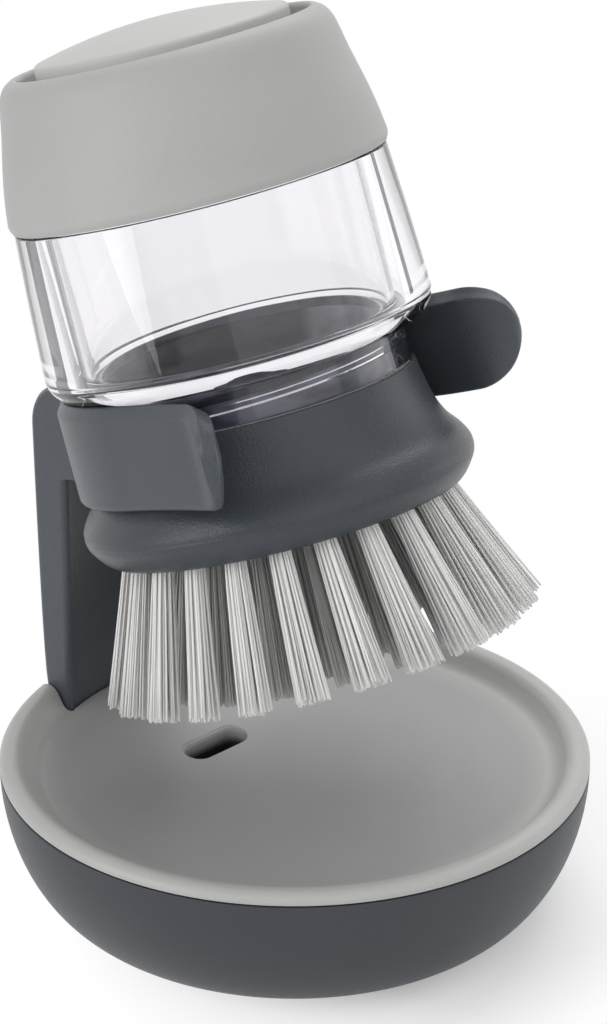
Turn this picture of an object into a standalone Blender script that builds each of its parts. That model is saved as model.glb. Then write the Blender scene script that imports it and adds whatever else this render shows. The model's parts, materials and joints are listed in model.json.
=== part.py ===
"""Soap-dispensing palm brush, resting in its storage stand.

Metres, +Z up. The origin is the middle of the stand's underside. The post stands at +Y
and the cradle opens towards -Y. The brush leans back in the cradle: its own frame, the
empty brush_axis, has Z along the brush and its datum at the neck.
"""

import math

import bmesh
import bpy
from mathutils import Matrix, Vector

# Clearances and mesh fineness
FIT = 0.0003
SEAT_GAP = 0.00035
OVERRUN = 0.002
MERGE = 0.00001
ROUND_STEPS = 48
SMALL_STEPS = 24
ROD_SIDES = 8
WIRE_SIDES = 6
SHARP_ANGLE = math.radians(35)

# Stand: bowl and pad
STAND_R = 0.055
FOOT_TUCK = 0.017
SEAM_Z = 0.028
BOWL_WALL = 0.0024
BOWL_FLOOR = 0.0024
BOWL_CURVE_POWER = 1.075
BOWL_CURVE_STEPS = 7
PAD_INSET = 0.012
PAD_T = 0.0016
PAD_PROUD = 0.0006

# Stand: drip tray
RIM_W = 0.0086
LIP_H = 0.0024
DISH_EDGE_DROP = 0.0015
DISH_SAG = 0.0051
TRAY_T = 0.0022
SKIRT_H = 0.003
SKIRT_W = 0.0019
SLOT_Y = 0.0213
SLOT_LENGTH = 0.014
SLOT_W = 0.0053
SLOT_LEAD = 0.0008

# Stand: post and its foot
POST_W = 0.032
POST_T = 0.0063
POST_INSET = 0.001
POST_LEAN = 0.003
POST_EDGE = 0.0015
POST_TOP_ROUND = 0.009
POST_SINK = 0.0075
POST_WALL_GAP = 0.0006
POST_ACROSS_STEPS = 8
FOOT_W = 0.024
FOOT_T = 0.004
FOOT_REACH = 0.011
FOOT_GAP = 0.0012
NOTCH_GAP = 0.0004

# Stand: screws that hold the post's foot to the bowl
SCREW_SPACING = 0.015
SCREW_R = 0.0015
SCREW_HEAD_R = 0.003
SCREW_HEAD_T = 0.0014
SCREW_LENGTH = 0.0062

# How the brush sits
TILT = math.radians(20.6)
POST_STANDOFF = 0.00355
TIP_CLEARANCE = 0.00745

# Brush head, from the datum up and down
WAIST_R = 0.030
FLANGE_FLARE = 0.0065
FLANGE_TUCK = 0.0031
HEAD_TOP = 0.0044
FLANGE_DROP = 0.0174
HEAD_H = 0.0228
PLUG_H = 0.0116
PLUG_WALL = 0.002
THREAD_DEPTH = 0.0008
THREAD_PITCH = 0.006
THREAD_TURNS = 1.25
MATING_TURNS = 0.75
MATING_START = math.radians(60)
THREAD_STEPS = 32
THREAD_W = 0.0016
GASKET_T = 0.0009
GASKET_RIM = 0.0008
CUP_FLOOR_T = 0.002
CUP_CORNER = 0.003
OUTLET_R = 0.004

# Bristle plate, tufts and valve
PLATE_T = 0.0055
PLATE_RIM = 0.0016
PLATE_SET = 0.0002
SOCKET_DEPTH = 0.0035
TUFT_INSET = 0.0029
TUFT_ROOT_R = 0.002
TUFT_LENGTH = 0.0285
OUTER_TIP_R = 0.003
MIDDLE_TIP_R = 0.0027
INNER_TIP_R = 0.0025
OUTER_SPLAY = math.radians(18)
MIDDLE_SPLAY = math.radians(11)
INNER_SPLAY = math.radians(5)
TUFT_TURN = math.radians(-4.2)
OUTER_COUNT = 22
MIDDLE_COUNT = 14
INNER_COUNT = 6
VALVE_R = 0.008
VALVE_FLANGE_W = 0.0021
VALVE_DOME_H = 0.0026
VALVE_T = 0.0012
VALVE_CROWN_T = 0.0015
VALVE_SLIT_L = 0.005
VALVE_SLIT_W = 0.0004
RETAINER_T = 0.0012
RETAINER_W = 0.0028

# Reservoir, upwards from the head's top
NECK_STEP = 0.0006
NECK_H = 0.0069
NECK_WALL = 0.0015
TANK_FLARE = 0.0066
SHOULDER_H = 0.0052
TANK_H = 0.0272
TANK_TAPER = 0.0015
TANK_BULGE = 0.0001
COLLAR_STEP = 0.0012
COLLAR_TAPER = 0.0009
COLLAR_H = 0.0103
BORE_DRAFT = 0.0004
INNER_WALL = 0.0014
ANNULUS_W = 0.0016
ANNULUS_FLOOR = 0.0042
COLLAR_WALL = 0.0012

# Cradle
CRADLE_GAP = 0.0007
CRADLE_WAIST_GAP = 0.0005
CRADLE_T = 0.0047
CRADLE_DROP = 0.0109
CRADLE_LEG = 0.021
CRADLE_EDGE = 0.0012
CRADLE_CHAMFER = 0.0024
CRADLE_EASE = 0.0003
FLARE_R = 0.0097
FLARE_ANGLE = math.radians(42)
FLARE_TAIL = 0.0035
CRADLE_ARC_STOPS = 12
CRADLE_LEG_STOPS = 3

# Cap, button and pump
CAP_H = 0.0266
CAP_OVERHANG = 0.0007
CAP_TAPER = 0.007
CAP_LIP_W = 0.0012
LIP_DEPTH = 0.0029
LIP_REACH = 0.0016
DIAPHRAGM_T = 0.0012
DOME_H = 0.0049
CLAMP_T = 0.0018
CLAMP_CLEAR = 0.0011
BUTTON_GAP = 0.0035
BUTTON_EDGE_H = 0.0014
BUTTON_CROWN_H = 0.003
BUTTON_WALL = 0.0016
BUTTON_FLANGE_T = 0.0015
BUTTON_TOP_T = 0.0018
PLUNGER_R = 0.0045
SPRING_INSET = 0.0028
SPRING_SEAT_W = 0.002
SPRING_WIRE_R = 0.0006
SPRING_TURNS = 4
SPRING_STEPS = 20

# Outline tables, as shares of the sizes above
RIM_SHARES = (
    (0.17, 0.04), (0.30, 0.20), (0.41, 0.51), (0.50, 0.80),
    (0.63, 0.98), (0.79, 1.00), (0.93, 0.87), (1.00, 0.67),
)
DISH_SHARES = (0.30, 0.55, 0.78, 1.00)
WAIST_SHARES = (
    (0.00, 0.00), (0.09, 0.17), (0.23, 0.375), (0.40, 0.546),
    (0.615, 0.69), (0.86, 0.805), (0.985, 0.925), (1.00, 1.00),
)
RIM_UNDER_SHARES = ((0.06, 0.30), (0.39, 0.62), (0.74, 0.87), (1.00, 1.00))
SHOULDER_SHARES = ((1.00, 1.00), (0.925, 0.65), (0.74, 0.35), (0.44, 0.12), (0.00, 0.00))
CAP_SIDE_SHARES = (
    (0.20, 0.966), (0.34, 0.913), (0.43, 0.842), (0.57, 0.658), (0.755, 0.45),
    (0.90, 0.263), (0.99, 0.094), (1.00, 0.045), (0.93, 0.0),
)
CROWN_SHARES = (0, 0.3, 0.6, 0.85)
DOME_SHARES = (0, 0.45, 0.75, 0.94)
DOME_HOLLOW_SHARES = (0.9, 0.7, 0.4, 0)
VALVE_HOLLOW_SHARE = 0.7
VALVE_TIP_SHARE = 0.75
MIDDLE_RING_SHARE = 0.602
INNER_RING_SHARE = 0.2136
POST_MERGE_SHARES = (-1, -0.4, 0.2, 0.6, 1, 2)
POST_ROUND_SHARES = (0, 0.4, 0.66, 0.84, 0.94, 0.985)
FOOT_LEVEL_SHARES = (0, 0.22, 0.5, 0.8, 1)
CRADLE_INSIDE_SHARES = (0.5, 0.78, 0.95)
CRADLE_TIP_SHARES = (0.741, 0.5, 0.293, 0.134, 0.049, 0.0097)
CRADLE_THIN_SHARE = 0.62
CRADLE_BLUNT_SHARE = 0.55


# Radii and heights that follow from the named sizes


def foot_r():
    return STAND_R - FOOT_TUCK


def pad_r():
    return foot_r() - PAD_INSET


def dish_r():
    return STAND_R - RIM_W


def bowl_floor_z():
    return PAD_T + FIT + BOWL_FLOOR


def lip_z():
    return SEAM_Z + LIP_H


def post_front_r():
    return STAND_R - POST_INSET - POST_T


def post_foot_z():
    return SEAM_Z - POST_SINK


def flange_r():
    return WAIST_R + FLANGE_FLARE


def head_foot_r():
    return flange_r() - FLANGE_TUCK


def flange_h():
    return HEAD_TOP - FLANGE_DROP


def head_bottom():
    return HEAD_TOP - HEAD_H


def plate_face():
    return head_bottom() + PLATE_SET


def plate_r():
    return head_foot_r() - PLATE_RIM - FIT


def cup_ceiling():
    """Height of the plate recess's ceiling under the head's cup."""
    return plate_face() + PLATE_T + FIT


def plug_top():
    return HEAD_TOP + PLUG_H


def neck_r():
    return WAIST_R - NECK_STEP


def neck_top():
    return HEAD_TOP + NECK_H


def bore_r():
    return neck_r() - NECK_WALL


def plug_r():
    return bore_r() - SEAT_GAP - THREAD_DEPTH


def groove_r():
    return WAIST_R - GASKET_RIM


def tank_r():
    return neck_r() + TANK_FLARE


def tank_wide_h():
    return neck_top() + SHOULDER_H


def tank_top():
    return tank_wide_h() + TANK_H


def tank_top_r():
    return tank_r() - TANK_TAPER


def collar_r():
    return tank_top_r() - COLLAR_STEP


def collar_top_r():
    return collar_r() - COLLAR_TAPER


def collar_top():
    return tank_top() + COLLAR_H


def cradle_inner_r():
    return WAIST_R + CRADLE_GAP


def cradle_outer_r():
    return cradle_inner_r() + CRADLE_T


def crest_r():
    return cradle_outer_r() - CRADLE_EDGE


def cradle_bottom():
    return HEAD_TOP - CRADLE_DROP


def cap_bottom():
    return tank_top() + FIT


def cap_top():
    return cap_bottom() + CAP_H


def cap_r():
    return tank_top_r() + CAP_OVERHANG


def cap_top_r():
    return cap_r() - CAP_TAPER


def opening_r():
    return cap_top_r() - CAP_LIP_W


def cavity_r():
    return opening_r() + LIP_REACH


def button_r():
    return opening_r() - BUTTON_GAP


def guide_r():
    return cavity_r() - SEAT_GAP


def button_ceiling():
    return cap_top() + BUTTON_EDGE_H - BUTTON_TOP_T


def clamp_top():
    return collar_top() + DIAPHRAGM_T + CLAMP_T + 2 * FIT


def coil_r():
    """Radius of the return spring's coil, clear of the button's wall."""
    return button_r() - BUTTON_WALL - SPRING_INSET - SPRING_WIRE_R


def clamp_hole_r():
    return coil_r() - SPRING_SEAT_W


def dome_r():
    return clamp_hole_r() - CLAMP_CLEAR


def valve_dome_r():
    return VALVE_R - VALVE_FLANGE_W


def outer_ring_r():
    return plate_r() - TUFT_INSET


def ring_r(share):
    """Radius of a ring of tufts, by its share of the way from the valve to the outer ring."""
    return VALVE_R + (outer_ring_r() - VALVE_R) * share


def tuft_tip_depth():
    """How far below the datum the outer tufts end."""
    return TUFT_LENGTH * math.cos(OUTER_SPLAY) - plate_face()


def tuft_reach():
    """Outer radius of the brush at the tips of its outer tufts."""
    return (
        outer_ring_r()
        + TUFT_LENGTH * math.sin(OUTER_SPLAY)
        + OUTER_TIP_R * math.cos(OUTER_SPLAY)
    )


def brush_y():
    """Place of the datum that leaves the cradle's wall in front of the post."""
    return post_front_r() - POST_STANDOFF - cradle_outer_r()


def brush_z():
    """Height of the datum that leaves the lowest bristle tips clear of the tray's lip."""
    drop = tuft_tip_depth() * math.cos(TILT) + tuft_reach() * math.sin(TILT)
    return lip_z() + TIP_CLEARANCE + drop


# Outlines


def bowl_radius_and_height(angle, top_radius, floor_z):
    """One point of the bowl's side: angle 0 at the seam, a quarter turn at the foot."""
    radius = foot_r() + (top_radius - foot_r()) * math.cos(angle)
    height = floor_z + (SEAM_Z - floor_z) * (1 - math.sin(angle) ** BOWL_CURVE_POWER)
    return radius, height


def bowl_inner_radius(height):
    """Inside radius of the bowl at a height above its floor."""
    rise = (height - bowl_floor_z()) / (SEAM_Z - bowl_floor_z())
    sine = (1 - rise) ** (1 / BOWL_CURVE_POWER)
    return foot_r() + (STAND_R - BOWL_WALL - foot_r()) * math.sqrt(1 - sine * sine)


def dish_height(radius):
    """Height of the tray's dished floor."""
    return SEAM_Z - DISH_EDGE_DROP - DISH_SAG * (1 - (radius / dish_r()) ** 2)


def waist_outline():
    """The head's concave side, from its top rim down to the widest line."""
    return [
        (WAIST_R + FLANGE_FLARE * out, HEAD_TOP - FLANGE_DROP * down)
        for out, down in WAIST_SHARES
    ]


def shoulder_outline():
    """The reservoir's underside, from its widest line in to the neck."""
    return [
        (neck_r() + TANK_FLARE * out, neck_top() + SHOULDER_H * up)
        for out, up in SHOULDER_SHARES
    ]


def read_between(pairs, value):
    """Second number of sorted pairs at a value of the first, on straight lines between."""
    pairs = sorted(pairs)
    if value <= pairs[0][0]:
        return pairs[0][1]
    for (low, at_low), (high, at_high) in zip(pairs, pairs[1:]):
        if value <= high:
            return at_low + (at_high - at_low) * (value - low) / (high - low)
    return pairs[-1][1]


def waist_radius(height):
    return read_between([(h, r) for r, h in waist_outline()], height)


def seat_height(radius):
    """Height of the cradle's top, just under the reservoir's shoulder."""
    return read_between(shoulder_outline(), radius) - SEAT_GAP


# Blender helpers


def clear_scene():
    for found in list(bpy.data.objects):
        bpy.data.objects.remove(found, do_unlink=True)


def material(name, colour, roughness, metallic=0.0, transmission=0.0):
    made = bpy.data.materials.new(name)
    made.use_nodes = True
    shader = made.node_tree.nodes["Principled BSDF"]
    shader.inputs["Base Color"].default_value = (*colour, 1.0)
    shader.inputs["Roughness"].default_value = roughness
    shader.inputs["Metallic"].default_value = metallic
    shader.inputs["Transmission Weight"].default_value = transmission
    made.diffuse_color = (*colour, 1.0)
    return made


def empty(name, location, tilt):
    made = bpy.data.objects.new(name, None)
    made.location = location
    made.rotation_euler = (tilt, 0.0, 0.0)
    bpy.context.scene.collection.objects.link(made)
    return made


def from_bmesh(name, shape, finish=None, parent=None):
    """An object from a bmesh, shaded smooth with its sharp edges marked."""
    bmesh.ops.recalc_face_normals(shape, faces=shape.faces)
    mesh = bpy.data.meshes.new(name)
    shape.to_mesh(mesh)
    shape.free()
    mesh.shade_smooth()
    mesh.set_sharp_from_angle(angle=SHARP_ANGLE)
    made = bpy.data.objects.new(name, mesh)
    if finish:
        mesh.materials.append(finish)
    made.parent = parent
    bpy.context.scene.collection.objects.link(made)
    return made


def turned(name, outline, finish=None, parent=None, steps=ROUND_STEPS, ring=False):
    """Outline points (radius, height) turned about Z. A ring's outline closes on itself."""
    shape = bmesh.new()
    points = [shape.verts.new((radius, 0.0, height)) for radius, height in outline]
    pairs = list(zip(points, points[1:]))
    if ring:
        pairs.append((points[-1], points[0]))
    edges = [shape.edges.new(pair) for pair in pairs]
    bmesh.ops.spin(
        shape, geom=points + edges, cent=(0, 0, 0), axis=(0, 0, 1),
        angle=math.tau, steps=steps, use_merge=True, use_duplicate=False,
    )
    bmesh.ops.remove_doubles(shape, verts=shape.verts, dist=MERGE)
    return from_bmesh(name, shape, finish, parent)


def add_skin(shape, loops):
    """A closed form over a row of loops of equally many points, with flat ends."""
    rows = [[shape.verts.new(point) for point in loop] for loop in loops]
    count = len(rows[0])
    for row, following in zip(rows, rows[1:]):
        for i in range(count):
            j = (i + 1) % count
            shape.faces.new((row[i], row[j], following[j], following[i]))
    shape.faces.new(rows[0])
    shape.faces.new(rows[-1])


def skin(name, loops, finish=None, parent=None):
    shape = bmesh.new()
    add_skin(shape, loops)
    bmesh.ops.remove_doubles(shape, verts=shape.verts, dist=MERGE)
    return from_bmesh(name, shape, finish, parent)


def combine(piece, helper, operation, solver="EXACT"):
    """A Boolean with a helper object, which stays out of renders."""
    helper.hide_render = True
    helper.display_type = "WIRE"
    step = piece.modifiers.new(operation.lower() + "_" + helper.name, "BOOLEAN")
    step.operation = operation
    step.solver = solver
    step.object = helper


# Stand


def make_pad(finish):
    return turned("base_pad", [(0, PAD_T), (pad_r(), PAD_T), (pad_r(), 0), (0, 0)], finish)


def foot_outer_y(height):
    """How far back the foot reaches at a height, clear of the bowl's curved wall."""
    radius = bowl_inner_radius(height) - FOOT_GAP
    return math.sqrt(radius ** 2 - (FOOT_W / 2) ** 2)


def foot_inner_y():
    return foot_outer_y(bowl_floor_z() + FIT) - FOOT_REACH


def screw_places():
    """Where the two screws stand, under the post's foot."""
    y = foot_inner_y() + FOOT_REACH / 2
    return [(side * SCREW_SPACING / 2, y) for side in (-1, 1)]


def screw_seat_z():
    """Height of the shoulder in the bowl's floor on which a screw's head bears."""
    return PAD_PROUD + SCREW_HEAD_T + FIT


def make_bowl(finish):
    floor_z = bowl_floor_z()
    angles = [math.pi / 2 * i / BOWL_CURVE_STEPS for i in range(BOWL_CURVE_STEPS + 1)]
    inside = [bowl_radius_and_height(a, STAND_R - BOWL_WALL, floor_z) for a in reversed(angles)]
    outside = [bowl_radius_and_height(a, STAND_R, PAD_PROUD) for a in angles]
    recess_r = pad_r() + FIT
    recess_z = PAD_T + FIT
    underside = [(recess_r, PAD_PROUD), (recess_r, recess_z), (0, recess_z)]
    bowl = turned("base_bowl", [(0, floor_z)] + inside + outside + underside, finish)
    hole_r = SCREW_R + FIT
    head_r = SCREW_HEAD_R + FIT
    seat = screw_seat_z() + FIT
    top = floor_z + OVERRUN
    for number, (x, y) in enumerate(screw_places()):
        outline = [
            (0, top), (hole_r, top), (hole_r, seat), (head_r, seat), (head_r, -OVERRUN), (0, -OVERRUN),
        ]
        cutter = turned(f"bowl_screw_hole_{number}", outline, steps=SMALL_STEPS)
        cutter.location = (x, y, 0)
        combine(bowl, cutter, "DIFFERENCE")
    return bowl


def make_screws(finish):
    seat = screw_seat_z()
    tip = seat + SCREW_LENGTH
    under = seat - SCREW_HEAD_T
    for side, (x, y) in zip(("left", "right"), screw_places()):
        outline = [
            (0, tip), (SCREW_R, tip - SCREW_R), (SCREW_R, seat),
            (SCREW_HEAD_R, seat), (SCREW_HEAD_R, under), (0, under),
        ]
        screw = turned(f"post_screw_{side}", outline, finish, steps=SMALL_STEPS)
        screw.location = (x, y, 0)


def make_tray(finish):
    edge_z = SEAM_Z - DISH_EDGE_DROP
    seam_top = SEAM_Z + FIT
    skirt_r = STAND_R - BOWL_WALL - FIT
    skirt_z = SEAM_Z - SKIRT_H
    floor = [(0, dish_height(0))]
    floor += [(dish_r() * k, dish_height(dish_r() * k)) for k in DISH_SHARES]
    rim = [(dish_r() + RIM_W * out, edge_z + (lip_z() - edge_z) * up) for out, up in RIM_SHARES]
    skirt = [
        (STAND_R, seam_top), (skirt_r, seam_top), (skirt_r, skirt_z), (skirt_r - SKIRT_W, skirt_z),
    ]
    under = [(r, z - TRAY_T) for r, z in reversed(floor)]
    tray = turned("drip_tray", floor + rim + skirt + under, finish)
    combine(tray, make_notch_cutter(), "DIFFERENCE")
    combine(tray, make_slot_cutter(), "DIFFERENCE")
    return tray


def stadium(half_length, radius):
    """A slot's outline: two half circles joined by straight sides, along X."""
    points = []
    for i in range(SMALL_STEPS):
        angle = math.tau * (i + 1 / 2) / SMALL_STEPS
        x = radius * math.cos(angle) + math.copysign(half_length, math.cos(angle))
        points.append((x, radius * math.sin(angle)))
    return points


def make_slot_cutter():
    """The drain slot, a little wider at the floor so that its edge is eased."""
    straight = (SLOT_LENGTH - SLOT_W) / 2
    surface = dish_height(SLOT_Y + SLOT_W / 2)
    levels = (
        (surface + OVERRUN, SLOT_LEAD), (surface, SLOT_LEAD),
        (surface - SLOT_LEAD, 0), (surface - TRAY_T - OVERRUN, 0),
    )
    loops = [
        [(x, SLOT_Y + y, z) for x, y in stadium(straight, SLOT_W / 2 + extra)]
        for z, extra in levels
    ]
    return skin("slot_cutter", loops)


def across_outline(front, back, half_width, edge):
    """A level of the post: curves front(x) and back(x) across X, with eased corners."""
    flat = half_width - edge
    ease = edge * (1 - math.sqrt(1 / 2))
    across = [-flat + 2 * flat * i / POST_ACROSS_STEPS for i in range(POST_ACROSS_STEPS + 1)]
    side_front = front(half_width)
    side_back = back(half_width)
    right = [
        (half_width - ease, side_front + ease), (half_width, side_front + edge),
        (half_width, side_back - edge), (half_width - ease, side_back - ease),
    ]
    points = [(x, front(x)) for x in across] + right
    points += [(x, back(x)) for x in reversed(across)]
    points += [(-x, y) for x, y in reversed(right)]
    return points


def make_notch_cutter():
    """The room that the post takes out of the tray's rim, open at the back."""
    front_r = post_front_r() - NOTCH_GAP
    section = across_outline(
        lambda x: math.sqrt(front_r ** 2 - x ** 2),
        lambda x: STAND_R + OVERRUN, POST_W / 2 + NOTCH_GAP, POST_EDGE,
    )
    levels = (dish_height(0) - TRAY_T - OVERRUN, lip_z() + OVERRUN)
    return skin("notch_cutter", [[(x, y, z) for x, y in section] for z in levels])


def cradle_front_y(x, z):
    """Y of the line inside the cradle's wall that the top of the post grows out of."""
    back = math.sqrt(crest_r() ** 2 - x ** 2)
    height = (z - brush_z() + back * math.sin(TILT)) / math.cos(TILT)
    return brush_y() + back * math.cos(TILT) + height * math.sin(TILT)


def cradle_bottom_z():
    """Lowest height of the cradle's outer wall, at its back."""
    return brush_z() - cradle_outer_r() * math.sin(TILT) + cradle_bottom() * math.cos(TILT)


def post_top_z():
    """Top of the post, just under the cradle's crest at the back."""
    crest_h = seat_height(crest_r()) - CRADLE_EDGE
    return brush_z() - crest_r() * math.sin(TILT) + crest_h * math.cos(TILT)


def post_back_r(z):
    """Outer radius of the post: inside the bowl below the seam, leaning out above it."""
    if z < SEAM_Z + FIT:
        return bowl_inner_radius(min(z, SEAM_Z)) - POST_WALL_GAP
    share = (z - SEAM_Z) / (post_top_z() - SEAM_Z)
    return STAND_R - POST_INSET + POST_LEAN * math.sqrt(share)


def post_level(z, back_r):
    """The post's outline at one height."""
    merge = min(max((z - cradle_bottom_z() + CRADLE_EDGE) / (2 * CRADLE_EDGE), 0), 1) ** 2
    rise = min(max((z - post_top_z() + POST_TOP_ROUND) / POST_TOP_ROUND, 0), 1)
    drop = POST_TOP_ROUND * (1 - math.sqrt(1 - rise ** 2))

    def front(x):
        plain = math.sqrt(post_front_r() ** 2 - x ** 2)
        return plain + (cradle_front_y(x, z) - plain) * merge

    def back(x):
        return math.sqrt(back_r ** 2 - x ** 2) - drop

    return [(x, y, z) for x, y in across_outline(front, back, POST_W / 2, POST_EDGE)]


def post_heights():
    """Heights of the post's levels. Two levels at the seam make the step over the bowl's edge."""
    low = cradle_bottom_z()
    round_start = post_top_z() - POST_TOP_ROUND
    heights = [SEAM_Z + FIT, (SEAM_Z + low) / 2]
    heights += [low + CRADLE_EDGE * k for k in POST_MERGE_SHARES]
    heights += [round_start + POST_TOP_ROUND * k for k in POST_ROUND_SHARES]
    return heights


def make_post(finish, brush_frame):
    """The post with its foot and the cradle, one moulding."""
    loops = [post_level(post_foot_z(), post_back_r(post_foot_z()))]
    loops.append(post_level(SEAM_Z + FIT, post_back_r(SEAM_Z)))
    loops += [post_level(z, post_back_r(z)) for z in post_heights()]
    post = skin("cradle_post", loops, finish)
    combine(post, make_cradle(brush_frame), "UNION", "MANIFOLD")
    combine(post, make_foot(), "UNION", "MANIFOLD")
    top = screw_seat_z() + SCREW_LENGTH + FIT
    pilot_r = SCREW_R + FIT
    for number, (x, y) in enumerate(screw_places()):
        outline = [(0, top), (pilot_r, top), (pilot_r, 0), (0, 0)]
        pilot = turned(f"pilot_hole_{number}", outline, steps=SMALL_STEPS)
        pilot.location = (x, y, 0)
        combine(post, pilot, "DIFFERENCE", "MANIFOLD")
    return post


def make_foot():
    """The foot: a tab on the bowl's floor and a web up the bowl's wall to the post."""
    low = bowl_floor_z() + FIT
    top = post_foot_z() + FOOT_T / 2
    inner = foot_inner_y()
    levels = [low + (top - low) * k for k in FOOT_LEVEL_SHARES]
    outline = [(inner, low)]
    outline += [(foot_outer_y(z), z) for z in levels]
    outline += [
        (post_front_r() - FOOT_T, top), (inner + FOOT_REACH, low + FOOT_T), (inner, low + FOOT_T),
    ]
    return skin("foot_blank", [[(x, y, z) for y, z in outline] for x in (-FOOT_W / 2, FOOT_W / 2)])


def cradle_path(distance):
    """Point and outward direction on the cradle's outer face, by distance from the back."""
    radius = cradle_outer_r()
    quarter = radius * math.pi / 2
    if distance <= quarter:
        angle = distance / radius
        return Vector((radius * math.sin(angle), radius * math.cos(angle))), angle
    distance -= quarter
    if distance <= CRADLE_LEG:
        return Vector((radius, -distance)), math.pi / 2
    distance -= CRADLE_LEG
    turn = min(distance / FLARE_R, FLARE_ANGLE)
    rest = max(distance - FLARE_R * FLARE_ANGLE, 0)
    out = radius + FLARE_R * (1 - math.cos(turn))
    point = Vector((out, -CRADLE_LEG - FLARE_R * math.sin(turn)))
    point += Vector((math.sin(turn), -math.cos(turn))) * rest
    return point, math.pi / 2 - turn


def cradle_section():
    """The wall of the cradle as (depth in from its outer face, height) points."""
    outer = cradle_outer_r()
    inner = cradle_inner_r()
    bottom = cradle_bottom()
    crest = seat_height(crest_r())
    side = [(outer, bottom + CRADLE_EDGE), (outer, crest - CRADLE_CHAMFER)]
    seat = [(r, seat_height(r)) for r in (crest_r(), (crest_r() + inner) / 2)]
    inside = [(inner, seat_height(inner) - CRADLE_EDGE / 2), (inner, HEAD_TOP - CRADLE_EDGE)]
    for share in CRADLE_INSIDE_SHARES:
        height = HEAD_TOP - CRADLE_DROP * share
        inside.append((max(waist_radius(height) + CRADLE_WAIST_GAP, inner), height))
    base = [(crest_r(), bottom), (outer - CRADLE_EASE, bottom + CRADLE_EASE)]
    return [(outer - r, h) for r, h in side + seat + inside + base]


def cradle_stops(length, tip_r):
    """Distances along half the cradle: round the back, down the leg, and at the rounded tip."""
    quarter = cradle_outer_r() * math.pi / 2
    straight = length - tip_r - quarter
    stops = [quarter * i / CRADLE_ARC_STOPS for i in range(CRADLE_ARC_STOPS + 1)]
    stops += [quarter + straight * i / CRADLE_LEG_STOPS for i in range(1, CRADLE_LEG_STOPS + 1)]
    stops += [length - tip_r * share for share in CRADLE_TIP_SHARES]
    return stops


def make_cradle(parent):
    """The fork: a wall swept round the brush's neck, flared at its two rounded tips."""
    section = cradle_section()
    heights = [h for _, h in section]
    middle = (max(heights) + min(heights)) / 2
    tip_r = (max(heights) - min(heights)) / 2
    curved = cradle_outer_r() * math.pi / 2 + FLARE_R * FLARE_ANGLE
    length = curved + CRADLE_LEG + FLARE_TAIL
    half = []
    for stop in cradle_stops(length, tip_r):
        left = length - stop
        squeeze = math.sqrt(1 - (max(tip_r - left, 0) / tip_r) ** 2)
        thin = CRADLE_THIN_SHARE + (1 - CRADLE_THIN_SHARE) * min(left / (2 * tip_r), 1)
        thin *= min(1.0, CRADLE_BLUNT_SHARE + (1 - CRADLE_BLUNT_SHARE) * left / CRADLE_EDGE)
        point, angle = cradle_path(stop)
        outward = Vector((math.sin(angle), math.cos(angle)))
        loop = []
        for depth, height in section:
            place = point - outward * depth * thin
            loop.append((place.x, place.y, middle + (height - middle) * squeeze))
        half.append(loop)
    mirrored = [[(-x, y, z) for x, y, z in loop] for loop in reversed(half[1:])]
    return skin("cradle_blank", mirrored + half, parent=parent)


# Brush head


def make_gasket(finish, parent):
    """The neck's seal, wide enough inside to pass over the plug's rib."""
    inner = plug_r() + THREAD_DEPTH + FIT
    outer = groove_r() - FIT
    low = HEAD_TOP - GASKET_T
    outline = [(outer, HEAD_TOP), (outer, low), (inner, low), (inner, HEAD_TOP)]
    return turned("neck_gasket", outline, finish, parent, ring=True)


def make_head(finish, parent):
    """The head: threaded plug, gasket groove, waist and flange, hollow inside as a cup."""
    plug = plug_r()
    cup_r = plug - PLUG_WALL
    groove = HEAD_TOP - GASKET_T - FIT
    ceiling = cup_ceiling()
    floor = ceiling + CUP_FLOOR_T
    recess_r = plate_r() + FIT
    drop = flange_h() - head_bottom()
    under = [
        (flange_r() - FLANGE_TUCK * inward, flange_h() - drop * down)
        for inward, down in RIM_UNDER_SHARES
    ]
    outline = [(plug - FIT, plug_top()), (plug, plug_top() - FIT), (plug, groove)]
    outline += [(groove_r(), groove), (groove_r(), HEAD_TOP)]
    outline += waist_outline() + under
    outline += [(recess_r, head_bottom()), (recess_r, ceiling), (OUTLET_R, ceiling)]
    outline += [(OUTLET_R, floor), (cup_r - CUP_CORNER, floor)]
    outline += [(cup_r, floor + CUP_CORNER), (cup_r, plug_top())]
    head = turned("brush_head", outline, finish, parent, ring=True)
    rib = make_rib("plug_rib", parent, plug, THREAD_DEPTH, -PLUG_WALL / 2, 0, THREAD_TURNS, 0)
    combine(head, rib, "UNION", "MANIFOLD")
    return head


def rib_start_h():
    """Height at which the plug's rib begins, so that it lies midway up the plug."""
    return (HEAD_TOP + plug_top() - THREAD_PITCH * THREAD_TURNS) / 2


def make_rib(name, parent, wall_r, proud, sink, start, turns, drop):
    """A helical rib on a round wall, sunk into it, and run out at both ends."""
    count = round(THREAD_STEPS * turns)
    loops = []
    for i in range(count + 1):
        angle = start + math.tau * turns * i / count
        out = proud if 0 < i < count else sink / 2
        height = rib_start_h() + THREAD_PITCH * angle / math.tau - drop
        section = (
            (wall_r + sink, THREAD_W / 2), (wall_r + out, THREAD_W / 4),
            (wall_r + out, -THREAD_W / 4), (wall_r + sink, -THREAD_W / 2),
        )
        loops.append([
            (r * math.cos(angle), r * math.sin(angle), height + dz) for r, dz in section
        ])
    return skin(name, loops, parent=parent)


# Bristles and valve


def ring_places(radius, count, turn):
    """Evenly spaced angles round the plate with the ring's radius."""
    return [(radius, TUFT_TURN + math.tau * (i + turn) / count) for i in range(count)]


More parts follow.
